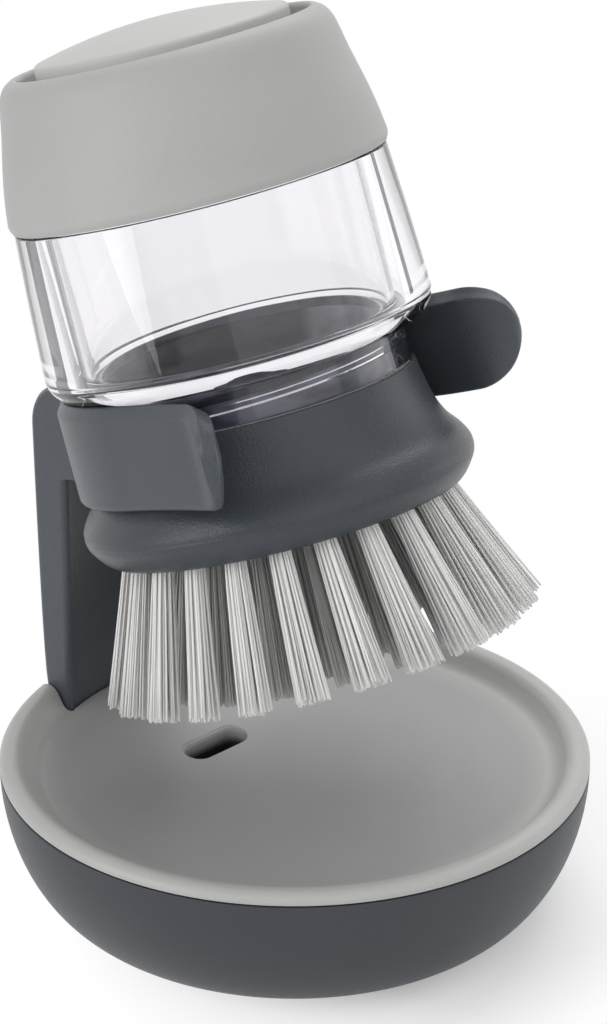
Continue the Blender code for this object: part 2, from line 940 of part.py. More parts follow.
def tuft_rings():
    """(name, places, splay, tip radius) of each ring of tufts."""
    middle_r = ring_r(MIDDLE_RING_SHARE)
    inner_r = ring_r(INNER_RING_SHARE)
    return (
        ("outer", ring_places(outer_ring_r(), OUTER_COUNT, 0), OUTER_SPLAY, OUTER_TIP_R),
        ("middle", ring_places(middle_r, MIDDLE_COUNT, 1 / 2), MIDDLE_SPLAY, MIDDLE_TIP_R),
        ("inner", ring_places(inner_r, INNER_COUNT, 0), INNER_SPLAY, INNER_TIP_R),
    )


def tuft_matrix(radius, angle, splay):
    """Frame of a tuft: its own Z runs along it, away from the plate's face."""
    place = Matrix.Translation((radius, 0, plate_face()))
    lean = Matrix.Rotation(math.pi - splay, 4, "Y")
    return Matrix.Rotation(angle, 4, "Z") @ place @ lean


def rod_loops(levels):
    """Loops of a round rod along Z at (height, radius) levels."""
    turns = [math.tau * i / ROD_SIDES for i in range(ROD_SIDES)]
    return [[(r * math.cos(a), r * math.sin(a), z) for a in turns] for z, r in levels]


def make_tufts(finish, parent):
    for ring_name, places, splay, tip_r in tuft_rings():
        levels = ((FIT - SOCKET_DEPTH, TUFT_ROOT_R), (0, TUFT_ROOT_R), (TUFT_LENGTH, tip_r))
        for number, (radius, angle) in enumerate(places, 1):
            name = f"tuft_{ring_name}_{number:02d}"
            tuft = skin(name, rod_loops(levels), finish, parent)
            tuft.matrix_local = tuft_matrix(radius, angle, splay)


def make_socket_cutter(parent):
    """All the tufts' sockets in one helper."""
    shape = bmesh.new()
    socket_r = TUFT_ROOT_R + FIT
    levels = ((-SOCKET_DEPTH, socket_r), (OVERRUN, socket_r))
    for _, places, splay, _ in tuft_rings():
        for radius, angle in places:
            frame = tuft_matrix(radius, angle, splay)
            add_skin(shape, [[frame @ Vector(point) for point in loop] for loop in rod_loops(levels)])
    return from_bmesh("socket_cutter", shape, parent=parent)


def make_plate(finish, parent):
    """The disc that holds the tufts, with their sockets and the valve's seat."""
    face = plate_face()
    top = face + PLATE_T
    pocket_r = VALVE_R + FIT
    seat = top - RETAINER_T - VALVE_T - 2 * FIT
    bore = valve_dome_r() + SEAT_GAP
    outline = [
        (pocket_r, top), (plate_r(), top), (plate_r(), face), (bore, face), (bore, seat), (pocket_r, seat),
    ]
    plate = turned("tuft_plate", outline, finish, parent, ring=True)
    combine(plate, make_socket_cutter(parent), "DIFFERENCE")
    return plate


def make_valve(finish, parent):
    """The slit outlet valve: a flange and a soft dome cut by one slit."""
    flange_top = plate_face() + PLATE_T - RETAINER_T - FIT
    flange_low = flange_top - VALVE_T
    tip = flange_low - VALVE_DOME_H
    dome = valve_dome_r()
    hollow = dome - VALVE_T
    outline = [
        (0, tip + VALVE_T), (hollow * VALVE_HOLLOW_SHARE, tip + VALVE_CROWN_T), (hollow, flange_low),
        (hollow, flange_top), (VALVE_R, flange_top), (VALVE_R, flange_low), (dome, flange_low),
        (dome, tip + VALVE_T), (dome * VALVE_TIP_SHARE, tip), (0, tip),
    ]
    valve = turned("outlet_valve", outline, finish, parent, steps=SMALL_STEPS)
    half_l = VALVE_SLIT_L / 2
    half_w = VALVE_SLIT_W / 2
    corners = [(-half_l, -half_w), (half_l, -half_w), (half_l, half_w), (-half_l, half_w)]
    levels = (tip - OVERRUN, flange_top + OVERRUN)
    slit = skin("slit_cutter", [[(x, y, z) for x, y in corners] for z in levels], parent=parent)
    combine(valve, slit, "DIFFERENCE")
    return valve


def make_retainer(finish, parent):
    """The ring that holds the valve's flange in its pocket."""
    top = plate_face() + PLATE_T
    low = top - RETAINER_T
    hole_r = VALVE_R - RETAINER_W
    outline = [(VALVE_R, top), (VALVE_R, low), (hole_r, low), (hole_r, top)]
    return turned("valve_retainer", outline, finish, parent, steps=SMALL_STEPS, ring=True)


# Reservoir and pump


def make_reservoir(finish, parent):
    """The clear vessel: a bore and an outer wall joined at the foot, both open at the top."""
    bore = bore_r()
    foot = HEAD_TOP + FIT
    top = collar_top()
    bore_top_r = bore + BORE_DRAFT
    slot_floor = neck_top() + ANNULUS_FLOOR
    middle = ((tank_top_r() + tank_r()) / 2 + TANK_BULGE, (tank_top() + tank_wide_h()) / 2)
    outline = [(collar_top_r(), top), (collar_r(), tank_top()), (tank_top_r(), tank_top()), middle]
    outline += shoulder_outline()
    outline += [(neck_r(), foot), (bore, foot), (bore, plug_top()), (bore_top_r, top)]
    outline += [(bore_top_r + INNER_WALL, top), (neck_r(), slot_floor)]
    outline += [(neck_r() + ANNULUS_W, slot_floor), (collar_top_r() - COLLAR_WALL, top)]
    vessel = turned("reservoir", outline, finish, parent, ring=True)
    rib = make_rib(
        "bore_rib", parent, bore, -THREAD_DEPTH, NECK_WALL / 2,
        MATING_START, MATING_TURNS, THREAD_W + FIT,
    )
    combine(vessel, rib, "UNION", "MANIFOLD")
    return vessel


def make_diaphragm(finish, parent):
    """The pump's silicone diaphragm: a clamped flange and a raised dome."""
    low = collar_top() + FIT
    flange = collar_top_r() - FIT
    top = low + DIAPHRAGM_T
    outer = dome_r()
    inner = outer - DIAPHRAGM_T
    dome = [(outer * out, top + DOME_H * math.sqrt(1 - out ** 2)) for out in DOME_SHARES]
    hollow = [(inner * out, low + DOME_H * math.sqrt(1 - out ** 2)) for out in DOME_HOLLOW_SHARES]
    outline = dome + [(outer, top), (flange, top), (flange, low), (inner, low)] + hollow
    return turned("pump_diaphragm", outline, finish, parent)


def make_clamp(finish, parent):
    """The ring that clamps the diaphragm's flange to the collar."""
    top = clamp_top()
    low = top - CLAMP_T
    hole_r = clamp_hole_r()
    outline = [(collar_top_r(), top), (collar_top_r(), low), (hole_r, low), (hole_r, top)]
    return turned("diaphragm_clamp", outline, finish, parent, ring=True)


def make_cap(finish, parent):
    """The grip: a tapering cover over the reservoir's collar, open round the button."""
    top = cap_top()
    shoulder = clamp_top() + FIT
    lip = top - LIP_DEPTH
    neck = collar_top_r() + FIT
    outline = [
        (opening_r(), top - 2 * FIT), (opening_r() + FIT, top - FIT / 2), (cap_top_r(), top),
    ]
    outline += [(cap_top_r() + CAP_TAPER * out, cap_bottom() + CAP_H * up) for out, up in CAP_SIDE_SHARES]
    outline += [
        (collar_r() + FIT, cap_bottom()), (neck, collar_top()), (neck, shoulder),
        (cavity_r(), shoulder), (cavity_r(), lip), (opening_r(), lip),
    ]
    return turned("grip_cap", outline, finish, parent, ring=True)


def make_button(finish, parent):
    """The push button: a crowned disc with a guide flange and a plunger inside."""
    edge = cap_top() + BUTTON_EDGE_H
    flange_top = cap_top() - LIP_DEPTH - FIT
    flange_low = flange_top - BUTTON_FLANGE_T
    ceiling = button_ceiling()
    tip = collar_top() + DIAPHRAGM_T + DOME_H + 2 * FIT
    button = button_r()
    hollow_r = button - BUTTON_WALL
    bevel = BUTTON_EDGE_H / 2
    outline = [(button * k, edge + BUTTON_CROWN_H * (1 - k ** 2)) for k in CROWN_SHARES]
    outline += [(button - bevel, edge), (button, edge - bevel), (button, flange_top)]
    outline += [(guide_r(), flange_top), (guide_r(), flange_low), (hollow_r, flange_low)]
    outline += [(hollow_r, ceiling), (PLUNGER_R, ceiling), (PLUNGER_R, tip), (0, tip)]
    return turned("push_button", outline, finish, parent)


def make_spring(finish, parent):
    """The return spring, between the clamp ring and the button's ceiling."""
    low = clamp_top() + FIT + SPRING_WIRE_R
    high = button_ceiling() - FIT - SPRING_WIRE_R
    coil = coil_r()
    count = SPRING_TURNS * SPRING_STEPS
    loops = []
    for i in range(count + 1):
        angle = math.tau * i / SPRING_STEPS
        height = low + (high - low) * i / count
        loop = []
        for j in range(WIRE_SIDES):
            around = math.tau * j / WIRE_SIDES
            radius = coil + SPRING_WIRE_R * math.cos(around)
            z = height + SPRING_WIRE_R * math.sin(around)
            loop.append((radius * math.cos(angle), radius * math.sin(angle), z))
        loops.append(loop)
    return skin("return_spring", loops, finish, parent)


# Materials


def make_dark_plastic():
    return material("dark_plastic", (0.068, 0.078, 0.088), 0.5)


def make_bowl_plastic():
    return material("bowl_plastic", (0.06, 0.066, 0.074), 0.55)


def make_tray_plastic():
    return material("tray_plastic", (0.36, 0.365, 0.355), 0.5)


def make_cap_plastic():
    return material("cap_plastic", (0.46, 0.46, 0.445), 0.5)


def make_button_plastic():
    return material("button_plastic", (0.58, 0.58, 0.55), 0.5)


def make_plate_plastic():
    return material("plate_plastic", (0.25, 0.26, 0.27), 0.5)


def make_clear_plastic():
    return material("clear_plastic", (0.95, 0.95, 0.99), 0.03, transmission=1.0)


def make_silicone():
    return material("silicone", (0.7, 0.7, 0.7), 0.4)


def make_pad_rubber():
    return material("pad_rubber", (0.03, 0.03, 0.03), 0.8)


def make_bristle():
    return material("bristle", (0.62, 0.62, 0.6), 0.45)


def make_steel():
    return material("steel", (0.6, 0.6, 0.6), 0.25, metallic=1.0)


def main():
    clear_scene()
    brush_axis = empty("brush_axis", (0, brush_y(), brush_z()), -TILT)
    dark = make_dark_plastic()
    plate_plastic = make_plate_plastic()
    silicone = make_silicone()
    steel = make_steel()

    make_pad(make_pad_rubber())
    make_bowl(make_bowl_plastic())
    make_tray(make_tray_plastic())
    make_post(dark, brush_axis)
    make_screws(steel)

    make_head(dark, brush_axis)
    make_plate(plate_plastic, brush_axis)
    make_tufts(make_bristle(), brush_axis)
    make_valve(silicone, brush_axis)
    make_retainer(plate_plastic, brush_axis)
    make_gasket(silicone, brush_axis)

    make_reservoir(make_clear_plastic(), brush_axis)
    make_diaphragm(silicone, brush_axis)
    make_clamp(plate_plastic, brush_axis)
    make_cap(make_cap_plastic(), brush_axis)
    make_button(make_button_plastic(), brush_axis)
    make_spring(steel, brush_axis)
    bpy.context.view_layer.update()


main()
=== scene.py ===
"""Dressed model of the soap-dispensing palm brush in its storage stand.

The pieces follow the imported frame. Lengths are in millimetres until a mesh is made.
The brush's own frame has Z along the brush and its datum at the neck.
Turned pieces have outlines of (radius, height) points; a third number is the length
over which the corner is rounded.
"""
import json
import math
import random

import bmesh
import bpy
from mathutils import Matrix, Vector

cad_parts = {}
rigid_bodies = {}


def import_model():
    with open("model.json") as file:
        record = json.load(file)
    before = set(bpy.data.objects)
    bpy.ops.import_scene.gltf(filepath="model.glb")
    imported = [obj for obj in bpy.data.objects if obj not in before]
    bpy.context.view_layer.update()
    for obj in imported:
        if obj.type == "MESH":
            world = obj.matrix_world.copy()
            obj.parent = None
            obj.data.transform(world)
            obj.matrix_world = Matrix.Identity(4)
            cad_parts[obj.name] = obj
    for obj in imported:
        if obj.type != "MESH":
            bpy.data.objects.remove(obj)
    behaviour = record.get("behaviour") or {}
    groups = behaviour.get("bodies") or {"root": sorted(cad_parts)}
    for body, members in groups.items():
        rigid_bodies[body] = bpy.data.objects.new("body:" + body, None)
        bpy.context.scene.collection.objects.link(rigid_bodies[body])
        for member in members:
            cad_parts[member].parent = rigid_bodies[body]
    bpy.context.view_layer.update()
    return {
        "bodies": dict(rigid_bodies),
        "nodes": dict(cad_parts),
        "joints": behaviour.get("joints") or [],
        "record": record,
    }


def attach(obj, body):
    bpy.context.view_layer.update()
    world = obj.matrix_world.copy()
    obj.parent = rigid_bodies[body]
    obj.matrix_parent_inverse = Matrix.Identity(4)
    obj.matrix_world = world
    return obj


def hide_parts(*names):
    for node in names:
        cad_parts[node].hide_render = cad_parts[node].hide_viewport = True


MM = 0.001
WHITE = (1, 1, 1, 1)

# Camera, as fitted to the photograph
CAMERA_AIM = (-6.53, -8.91, 84.0)
CAMERA_DISTANCE = 800
CAMERA_AZIMUTH = math.radians(-44.67)
CAMERA_ELEVATION = math.radians(25.76)
CAMERA_LENS = 157.09
CAMERA_SENSOR = 36
CAMERA_CLIP = (10, 10000)
TO_CAMERA = Vector((math.sin(CAMERA_AZIMUTH), -math.cos(CAMERA_AZIMUTH), 0))
TO_RIGHT = Vector((math.cos(CAMERA_AZIMUTH), math.sin(CAMERA_AZIMUTH), 0))

# Floor and backdrop
FLOOR_HALF = 900
FLOOR_DROP = 0.05
FLOOR_TONE = (0.8, 0.8, 0.8, 1)
FLOOR_ROUGHNESS = 0.9
FLOOR_GLOW = 0.32
SHADOW_MIDDLE = (40, -35, 0)
SHADOW_REACH = (52, 98)
SOFT_LIGHT = 0.3
FRONT_DIM = 0.5
BACKDROP_EDGE = (-0.35, 0.3)

# Painted dark streaks in the clear walls: strips of the far floor, dark only to rays through
# the clear walls, each fanning out from a point beside the stand, as
# (side, cosine of the angle between the strip's middle and that side, half its width)
STREAK_PAINTED_DARK = 0.8
FLAG_Y = 19
FLAG_OUT = 29
FLAG_LEFT = (1, 0.61, 0.148)
FLAG_RIGHT = (-1, 0.638, 0.036)

# Lamps: (name, place, width, height, power)
LAMP_AIM = (0, 0, 70)
LAMPS = (
    ("left_lamp", (-700, 190, 340), 520, 600, 2.7),
    ("right_lamp", (430, 255, 730), 700, 700, 3.5),
    ("front_lamp", (-120, -640, 530), 1100, 1100, 3.1),
    ("fill_lamp", (560, -330, 90), 500, 500, 0.5),
)

# The brush's frame
TILT = math.radians(20.6)
BRUSH_Y = 8.75
BRUSH_Z = 94.424

# Mesh fineness
ROUND_STEPS = 192
CLEAR_STEPS = 256
HOLE_STEPS = 48
SLOT_STEPS = 64
DISH_STEPS = 16
CROWN_STEPS = 10
CORNER_STEPS = 4
CURVE_STEPS = 4
WELD = 0.0005
CORNER_SHARE = 0.48

# Rounded corners
FINE = 0.2
SOFT = 0.3
FULL = 0.5

# Bowl
STAND_R = 55
FOOT_R = 38
SEAM_Z = 28
WALL = 2.4
BOWL_POWER = 1.075
PAD_R = 26
PAD_T = 1.6
PAD_PROUD = 0.6
FIT = 0.3
FLOOR_Z = PAD_T + FIT + WALL
SCREW_X = 7.5
SCREW_Y = 31.6
SCREW_HOLE_R = 1.8
SCREW_HEAD_R = 3.3
SCREW_SEAT = 2.6
HOLE_TOP = 6
HOLE_LOW = -2

# Tray
RIM_W = 8.6
LIP_Z = 30.4
DISH_R = STAND_R - RIM_W
DISH_LOW = 21.4
DISH_RISE = 5.1
TRAY_T = 2.2
SKIRT_R = 52.3
SKIRT_Z = 25
RIM_LINE = (
    (DISH_R, DISH_LOW + DISH_RISE), (47.86, 26.66), (48.98, 27.28), (49.93, 28.49),
    (50.7, 29.62), (51.82, 30.32), (53.19, LIP_Z), (54.4, 29.89), (STAND_R, 29.11),
)
# Radii between which the dish's painted shade fades into the rim's plain tone
DISH_SHADE_EDGE = (43, 50)
NOTCH_GAP = 0.4
NOTCH_OUT = 3
NOTCH_Z = (10, 40)

# Drain slot
SLOT_Y = 21.3
SLOT_LENGTH = 14
SLOT_W = 5.3
SLOT_LEAD = 0.8
SLOT_LEAD_SHARE = 1.2
SLOT_WIDER = 0.15
SLOT_OVER = (2, 0.05)
SLOT_UNDER = 3
SLOT_SKIRT = 5.5
SLOT_SKIRT_TOP = 1.2
SLOT_WALL = 1.4
# Heights between which the painted shade down the slot's walls lightens upwards
SLOT_PAINTED_SHADE_Z = (19.6, 21.3)
# How dark the painted shade is at the foot of the slot
SLOT_PAINTED_SHADE = 0.1

# Post and foot
POST_HALF = 16
POST_FRONT_R = 47.7
POST_BACK_R = 54
POST_LEAN = 3.0
POST_EDGE = 1.5
POST_TOP_ROUND = 9
POST_LOW = 20.5
POST_FIT = 0.6
MERGE_SHARES = (-0.6, -0.2, 0.2, 0.6, 1.0, 1.6, 2.4)
FOOT_HALF = 12
FOOT_DEPTH = 11
FOOT_T = 4
FOOT_LAP = 2
FOOT_FIT = 1.2

# Head
WAIST_R = 30
FLANGE_R = 36.5
HEAD_FOOT_R = 33.4
HEAD_TOP = 4.4
HEAD_LOW = -18.4
HEAD_BORE_R = 26
HEAD_DECK = 3.2
GROOVE_R = 29.2
PLATE_R = 31.8
PLATE_TOP = -12.4
PARTING = 0.035
PARTING_HALF = 0.05
PARTING_FOOT = 0.12
PARTING_CLEAR = 0.2
WAIST_LINE = (
    (WAIST_R, HEAD_TOP), (30.5, 1.44), (31.2, -2.13), (32.1, -5.1),
    (33.4, -7.61), (35.1, -9.7), (36.25, -11.7), (FLANGE_R, -13.0),
)
UNDER_LINE = ((36.31, -14.62), (35.29, -16.35), (34.21, -17.7), (HEAD_FOOT_R, HEAD_LOW))

# Plug and soap cup
PLUG_R = 26.75
PLUG_TOP = 15.1
PLUG_FOOT = 3
PLUG_SHANK_R = 26.2
PLUG_SHANK_TOP = 2.8
CUP_R = 24.75
CUP_MOUTH_R = 26.1
CUP_BEND = 9
CUP_FLOOR = -10.4
CUP_LOW = -12.3
CUP_HOLE_R = 4
# Places to the right of the stand's axis between which the cup's painted shade turns into painted
# light, and how far inside the plug's radius the cup's painted tones begin
CUP_PAINTED_LIGHT = (1.5, 5)
CUP_INSET = 1

# Thread: the rib's section is rows of (share of its proud height, half width)
THREAD_LEAD = 6
THREAD_TURNS = 1.25
THREAD_CREST = ((0.6, 0.66), (1, 0.4))
THREAD_FOOT = 0.8
THREAD_STEPS = 96
THREAD_EASE = 6

# Reservoir
NECK_R = 29.4
NECK_LOW = 4.7
NECK_TOP = 11.3
TANK_R = 36
TANK_WIDE_H = 16.5
TANK_MIDDLE = (35.35, 30.1)
TANK_TOP_R = 34.5
TANK_TOP = 43.7
COLLAR_R = 32.4
COLLAR_FOOT_R = 33.3
COLLAR_TOP = 54
BORE_R = 27.9
BORE_TOP_R = 28.3
SLEEVE_TOP_R = 29.7
GAP_LOW = 15.5
GAP_R = 31
GAP_TOP_R = 31.2
SHOULDER_LINE = (
    (TANK_R, TANK_WIDE_H), (35.505, 14.68), (34.284, 13.12), (32.304, 11.92), (NECK_R, NECK_TOP),
)

# Cap and button
CAP_TOP = 70.6
CAP_LOW = 44
CAP_LINE = (
    (28.2, CAP_TOP), (29.6, 69.7), (30.58, 68.29), (31.21, 66.4), (32.19, 61.5),
    (33.485, 55.97), (34.5, 51.0), (35.13, 46.5), (35.2, 45.2), (34.71, CAP_LOW),
)
CAP_INSET = 0.05
CAP_HOLE_R = 27
CAP_LIP_R = 27.5
CAP_LIP_Z = 70
CAP_FOOT_R = 33.6
CAP_BORE_R = 32.7
CAP_SHELF = 57.9
CAP_WELL_R = 28.6
CAP_ROOF = 67.7
BUTTON_R = 23.5
BUTTON_EDGE_Z = 72
BUTTON_EDGE = 0.9
BUTTON_DOME = 3
BUTTON_FLANGE_R = 28.25
BUTTON_FLANGE_Z = (67.4, 65.9)
BUTTON_HOLLOW_R = 21.9
BUTTON_HOLLOW_Z = 70.2
PLUNGER_R = 4.5
PLUNGER_LOW = 60.7

# Cradle
CRADLE_IN = 30.7
CRADLE_OUT = 35.4
CRADLE_LOW = -6.5
CRADLE_LEG = 21
FLARE_R = 9.7
FLARE_ANGLE = math.radians(42)
FLARE_TAIL = 3.5
EDGE = 1.2
CREST_R = CRADLE_OUT - EDGE
CHAMFER_H = 2.3
CHAMFER_IN = 1.5
SHOULDER_GAP = 0.35
WAIST_GAP = 0.5
WAIST_GAP_LOW = 0.6
WAIST_SHARES = (0.5, 0.78, 0.95)
TIP_SHARE = 0.62
TIP_BLUNT = 0.45
TIP_TALLER = 0.1
RIGHT_RISE = 1.8
LEFT_RISE = -0.9

# Tufts
TUFT_LENGTH = 28.5
TUFT_FACE = -18.2
TUFT_SINK = 3.2
TUFT_TURN = math.radians(-4.2)
TUFT_ROOT_R = 1.75
FILAMENT_R = 0.205
FILAMENT_SIDES = 5
FILAMENT_STEPS = 3
FILAMENT_INSET = 0.35
FILAMENT_TURN = 2.39996
TIP_STRAY = 0.3
BOW_STRAY = 0.12
LENGTH_STRAY = 0.9
FAN_WIDER = 0.3
FAN_SIDE = math.radians(-45)
SPLAY_RIGHT = math.radians(3)
SPLAY_STRAY = math.radians(0.7)
SEED = 7

# Rings of tufts: (name, ring radius, count, half step, splay, tip radius, filaments in a tuft)
RINGS = (
    ("outer", 28.6, 22, 0.0, math.radians(18), 3.4, 58),
    ("middle", 20.4, 14, 0.5, math.radians(16.5), 4.0, 74),
    ("inner", 12.4, 6, 0.0, math.radians(5), 3.6, 56),
)

# Looks: noise scales are in grains to a metre
BROAD_NOISE = 45
NOISE_MIDDLE = (0.3, 0.7)
GLOSS_SPREAD = 0.06
FILAMENT_STREAK = 300
STEEL_STREAK = 900
PLUG_PATCH = 75
PLUG_STRETCH = (1, 1, 2.6)
CLEAR_RIPPLE = 70
CLEAR_TINT = (0.998, 0.996, 1, 1)
CLEAR_INDEX = 1.45
CLEAR_DEPTH_TINT = (0.45, 0.2, 0.95, 1)
CLEAR_DENSITY = 3


def brush_matrix():
    return Matrix.Translation((0, BRUSH_Y, BRUSH_Z)) @ Matrix.Rotation(-TILT, 4, "X")


# Shapes

def rounded(points, closed):
    """Outline points (a, b, reach): a corner with a reach is rounded over that length."""
    out = []
    last = len(points) - 1
    for i, point in enumerate(points):
        here = Vector(point[:2])
        reach = point[2] if len(point) > 2 else 0
        if not reach or (not closed and i in (0, last)):
            out.append(tuple(here))
            continue
        before = Vector(points[i - 1][:2]) - here
        after = Vector(points[(i + 1) % (last + 1)][:2]) - here
        start = here + before.normalized() * min(reach, before.length * CORNER_SHARE)
        end = here + after.normalized() * min(reach, after.length * CORNER_SHARE)
        for k in range(CORNER_STEPS + 1):
            t = k / CORNER_STEPS
            out.append(tuple(start * (1 - t) ** 2 + here * 2 * t * (1 - t) + end * t * t))
    return out


def flowing(points):
    """A smooth line through the points."""
    points = [Vector(p) for p in points]
    ends = [2 * points[0] - points[1]] + points + [2 * points[-1] - points[-2]]
    out = []
    for a, b, c, d in zip(ends, ends[1:], ends[2:], ends[3:]):
        for k in range(CURVE_STEPS):
            t = k / CURVE_STEPS
            out.append(tuple(0.5 * (
                2 * b + (c - a) * t + (2 * a - 5 * b + 4 * c - d) * t ** 2
                + (3 * b - a - 3 * c + d) * t ** 3
            )))
    return out + [tuple(points[-1])]


def read_between(pairs, value):
    """Second number of pairs at a value of the first, on straight lines between."""
    pairs = sorted(pairs)
    if value <= pairs[0][0]:
        return pairs[0][1]
    for (low, at_low), (high, at_high) in zip(pairs, pairs[1:]):
        if value <= high:
            return at_low + (at_high - at_low) * (value - low) / (high - low)
    return pairs[-1][1]


def to_object(name, shape, frame=None, finish=None):
    """A shown object from a bmesh in millimetres, placed by a frame."""
    bmesh.ops.remove_doubles(shape, verts=shape.verts, dist=WELD)
    bmesh.ops.recalc_face_normals(shape, faces=shape.faces)
    if frame:
        shape.transform(frame)
    shape.transform(Matrix.Scale(MM, 4))
    mesh = bpy.data.meshes.new(name)
    shape.to_mesh(mesh)
    shape.free()
    mesh.shade_smooth()
    made = bpy.data.objects.new(name, mesh)
    bpy.context.scene.collection.objects.link(made)
    if finish:
        mesh.materials.append(finish)
    return made


def finish_shading(piece, angle=40):
    """Keeps edges past an angle sharp and evens the normals of the rest."""
    piece.data.set_sharp_from_angle(angle=math.radians(angle))
    even = piece.modifiers.new("even_normals", "WEIGHTED_NORMAL")
    even.keep_sharp = True
    return piece


def lathe(name, outline, frame=None, finish=None, ring=True, steps=ROUND_STEPS):
    """A turned piece, from an outline that is a closed ring or runs from axis to axis."""
    shape = bmesh.new()
    points = [shape.verts.new((r, 0, h)) for r, h in rounded(outline, ring)]
    pairs = list(zip(points, points[1:]))
    if ring:
        pairs.append((points[-1], points[0]))
    edges = [shape.edges.new(pair) for pair in pairs]
    bmesh.ops.spin(
        shape, geom=points + edges, cent=(0, 0, 0), axis=(0, 0, 1),
        angle=math.tau, steps=steps, use_merge=True, use_duplicate=False,
    )
    return to_object(name, shape, frame, finish)


def bridge(shape, rows):
    """Faces between each closed row of corners and the next."""
    count = len(rows[0])
    for row, following in zip(rows, rows[1:]):
        for i in range(count):
            j = (i + 1) % count
            shape.faces.new((row[i], row[j], following[j], following[i]))


def skin_shape(loops):
    """A closed form over a row of loops of equally many points."""
    shape = bmesh.new()
    rows = [[shape.verts.new(point) for point in loop] for loop in loops]
    bridge(shape, rows)
    shape.faces.new(rows[0])
    shape.faces.new(rows[-1])
    return shape


def cut(piece, cutters, operation="DIFFERENCE", solver="EXACT"):
    """Bakes the cutters into the piece's mesh, and removes them."""
    for number, cutter in enumerate(cutters):
        step = piece.modifiers.new(f"cut_{number}", "BOOLEAN")
        step.operation = operation
        step.solver = solver
        step.object = cutter
    bpy.context.view_layer.update()
    graph = bpy.context.evaluated_depsgraph_get()
    made = bpy.data.meshes.new_from_object(piece.evaluated_get(graph))
    piece.modifiers.clear()
    piece.data = made
    for cutter in cutters:
        bpy.data.objects.remove(cutter, do_unlink=True)


# Shader nodes

def new_material(name):
    made = bpy.data.materials.new(name)
    made.use_nodes = True
    nodes = made.node_tree.nodes
    return made, nodes, made.node_tree.links, nodes["Principled BSDF"]


def object_place(nodes):
    return nodes.new("ShaderNodeTexCoord").outputs["Object"]


def feed(links, socket, value):
    """Sets a socket to a plain number, or links another socket to it."""
    if isinstance(value, (int, float)):
        socket.default_value = value
    else:
        links.new(value, socket)


def vector_math(nodes, links, operation, source, operand=None):
    made = nodes.new("ShaderNodeVectorMath")
    made.operation = operation
    links.new(source, made.inputs[0])
    if operand is not None:
        made.inputs[1].default_value = operand
    return made.outputs["Value" if operation in ("DOT_PRODUCT", "DISTANCE", "LENGTH") else "Vector"]


def number_math(nodes, links, operation, *inputs):
    """A Math node over sockets and plain numbers."""
    made = nodes.new("ShaderNodeMath")
    made.operation = operation
    for socket, value in zip(made.inputs, inputs):
        feed(links, socket, value)
    return made.outputs[0]


def axis_distance(nodes, links, place):
    """Distance of a place from the upright axis."""
    return vector_math(nodes, links, "LENGTH", vector_math(nodes, links, "MULTIPLY", place, (1, 1, 0)))


def map_range(nodes, links, source, reach, target=(0, 1), smooth=False):
    """The source carried from one reach of values to another, and held at its ends."""
    made = nodes.new("ShaderNodeMapRange")
    if smooth:
        made.interpolation_type = "SMOOTHSTEP"
    for name, value in zip(("From Min", "From Max", "To Min", "To Max"), (*reach, *target)):
        made.inputs[name].default_value = value
    links.new(source, made.inputs["Value"])
    return made.outputs["Result"]


def spread(nodes, links, noise, low, high):
    return map_range(nodes, links, noise, NOISE_MIDDLE, (low, high))


def ramp(nodes, links, source, low, high, start=0.35, end=0.65):
    made = nodes.new("ShaderNodeValToRGB")
    made.color_ramp.elements[0].position = start
    made.color_ramp.elements[1].position = end
    made.color_ramp.elements[0].color = (*low, 1)
    made.color_ramp.elements[1].color = (*high, 1)
    links.new(source, made.inputs["Fac"])
    return made.outputs["Color"]


def mixed(nodes, links, factor, first, second, blend="MIX"):
    made = nodes.new("ShaderNodeMix")
    made.data_type = "RGBA"
    made.blend_type = blend
    feed(links, made.inputs["Factor"], factor)
    links.new(first, made.inputs["A"])
    links.new(second, made.inputs["B"])
    return made.outputs["Result"]


def multiplied(nodes, links, first, second):
    return mixed(nodes, links, 1, first, second, "MULTIPLY")


def noise_node(nodes, links, place, scale, detail=2.0, stretch=None):
    """Noise over the object's own coordinates, with about scale grains to a metre."""
    if stretch:
        mapping = nodes.new("ShaderNodeMapping")
        mapping.inputs["Scale"].default_value = stretch
        links.new(place, mapping.inputs["Vector"])
        place = mapping.outputs["Vector"]
    noise = nodes.new("ShaderNodeTexNoise")
    noise.inputs["Scale"].default_value = scale
    noise.inputs["Detail"].default_value = detail
    links.new(place, noise.inputs["Vector"])
    return noise.outputs["Fac"]


def relief(nodes, links, shader, height, depth):
    """Gives the shader bumps of a depth in millimetres."""
    bump = nodes.new("ShaderNodeBump")
    bump.inputs["Strength"].default_value = 1
    bump.inputs["Distance"].default_value = depth * MM
    links.new(height, bump.inputs["Height"])
    links.new(bump.outputs["Normal"], shader.inputs["Normal"])


# Materials

def moulded(name, colour, roughness, grain, depth, vary=0.05, speck=0.08, gloss=0.5):
    """Moulded plastic: a fine grain in relief and gloss, and a faint uneven tone."""
    made, nodes, links, shader = new_material(name)
    place = object_place(nodes)
    fine = noise_node(nodes, links, place, grain, 1.0)
    broad = noise_node(nodes, links, place, BROAD_NOISE, 3.0)
    low = [c * (1 - vary) for c in colour]
    high = [c * (1 + vary) for c in colour]
    tone = ramp(nodes, links, broad, low, high)
    dots = ramp(nodes, links, fine, [1 - speck] * 3, [1 + speck] * 3, *NOISE_MIDDLE)
    links.new(multiplied(nodes, links, tone, dots), shader.inputs["Base Color"])
    dull = spread(nodes, links, fine, roughness - GLOSS_SPREAD, roughness + GLOSS_SPREAD)
    links.new(dull, shader.inputs["Roughness"])
    shader.inputs["Specular IOR Level"].default_value = gloss
    relief(nodes, links, shader, fine, depth)
    return made


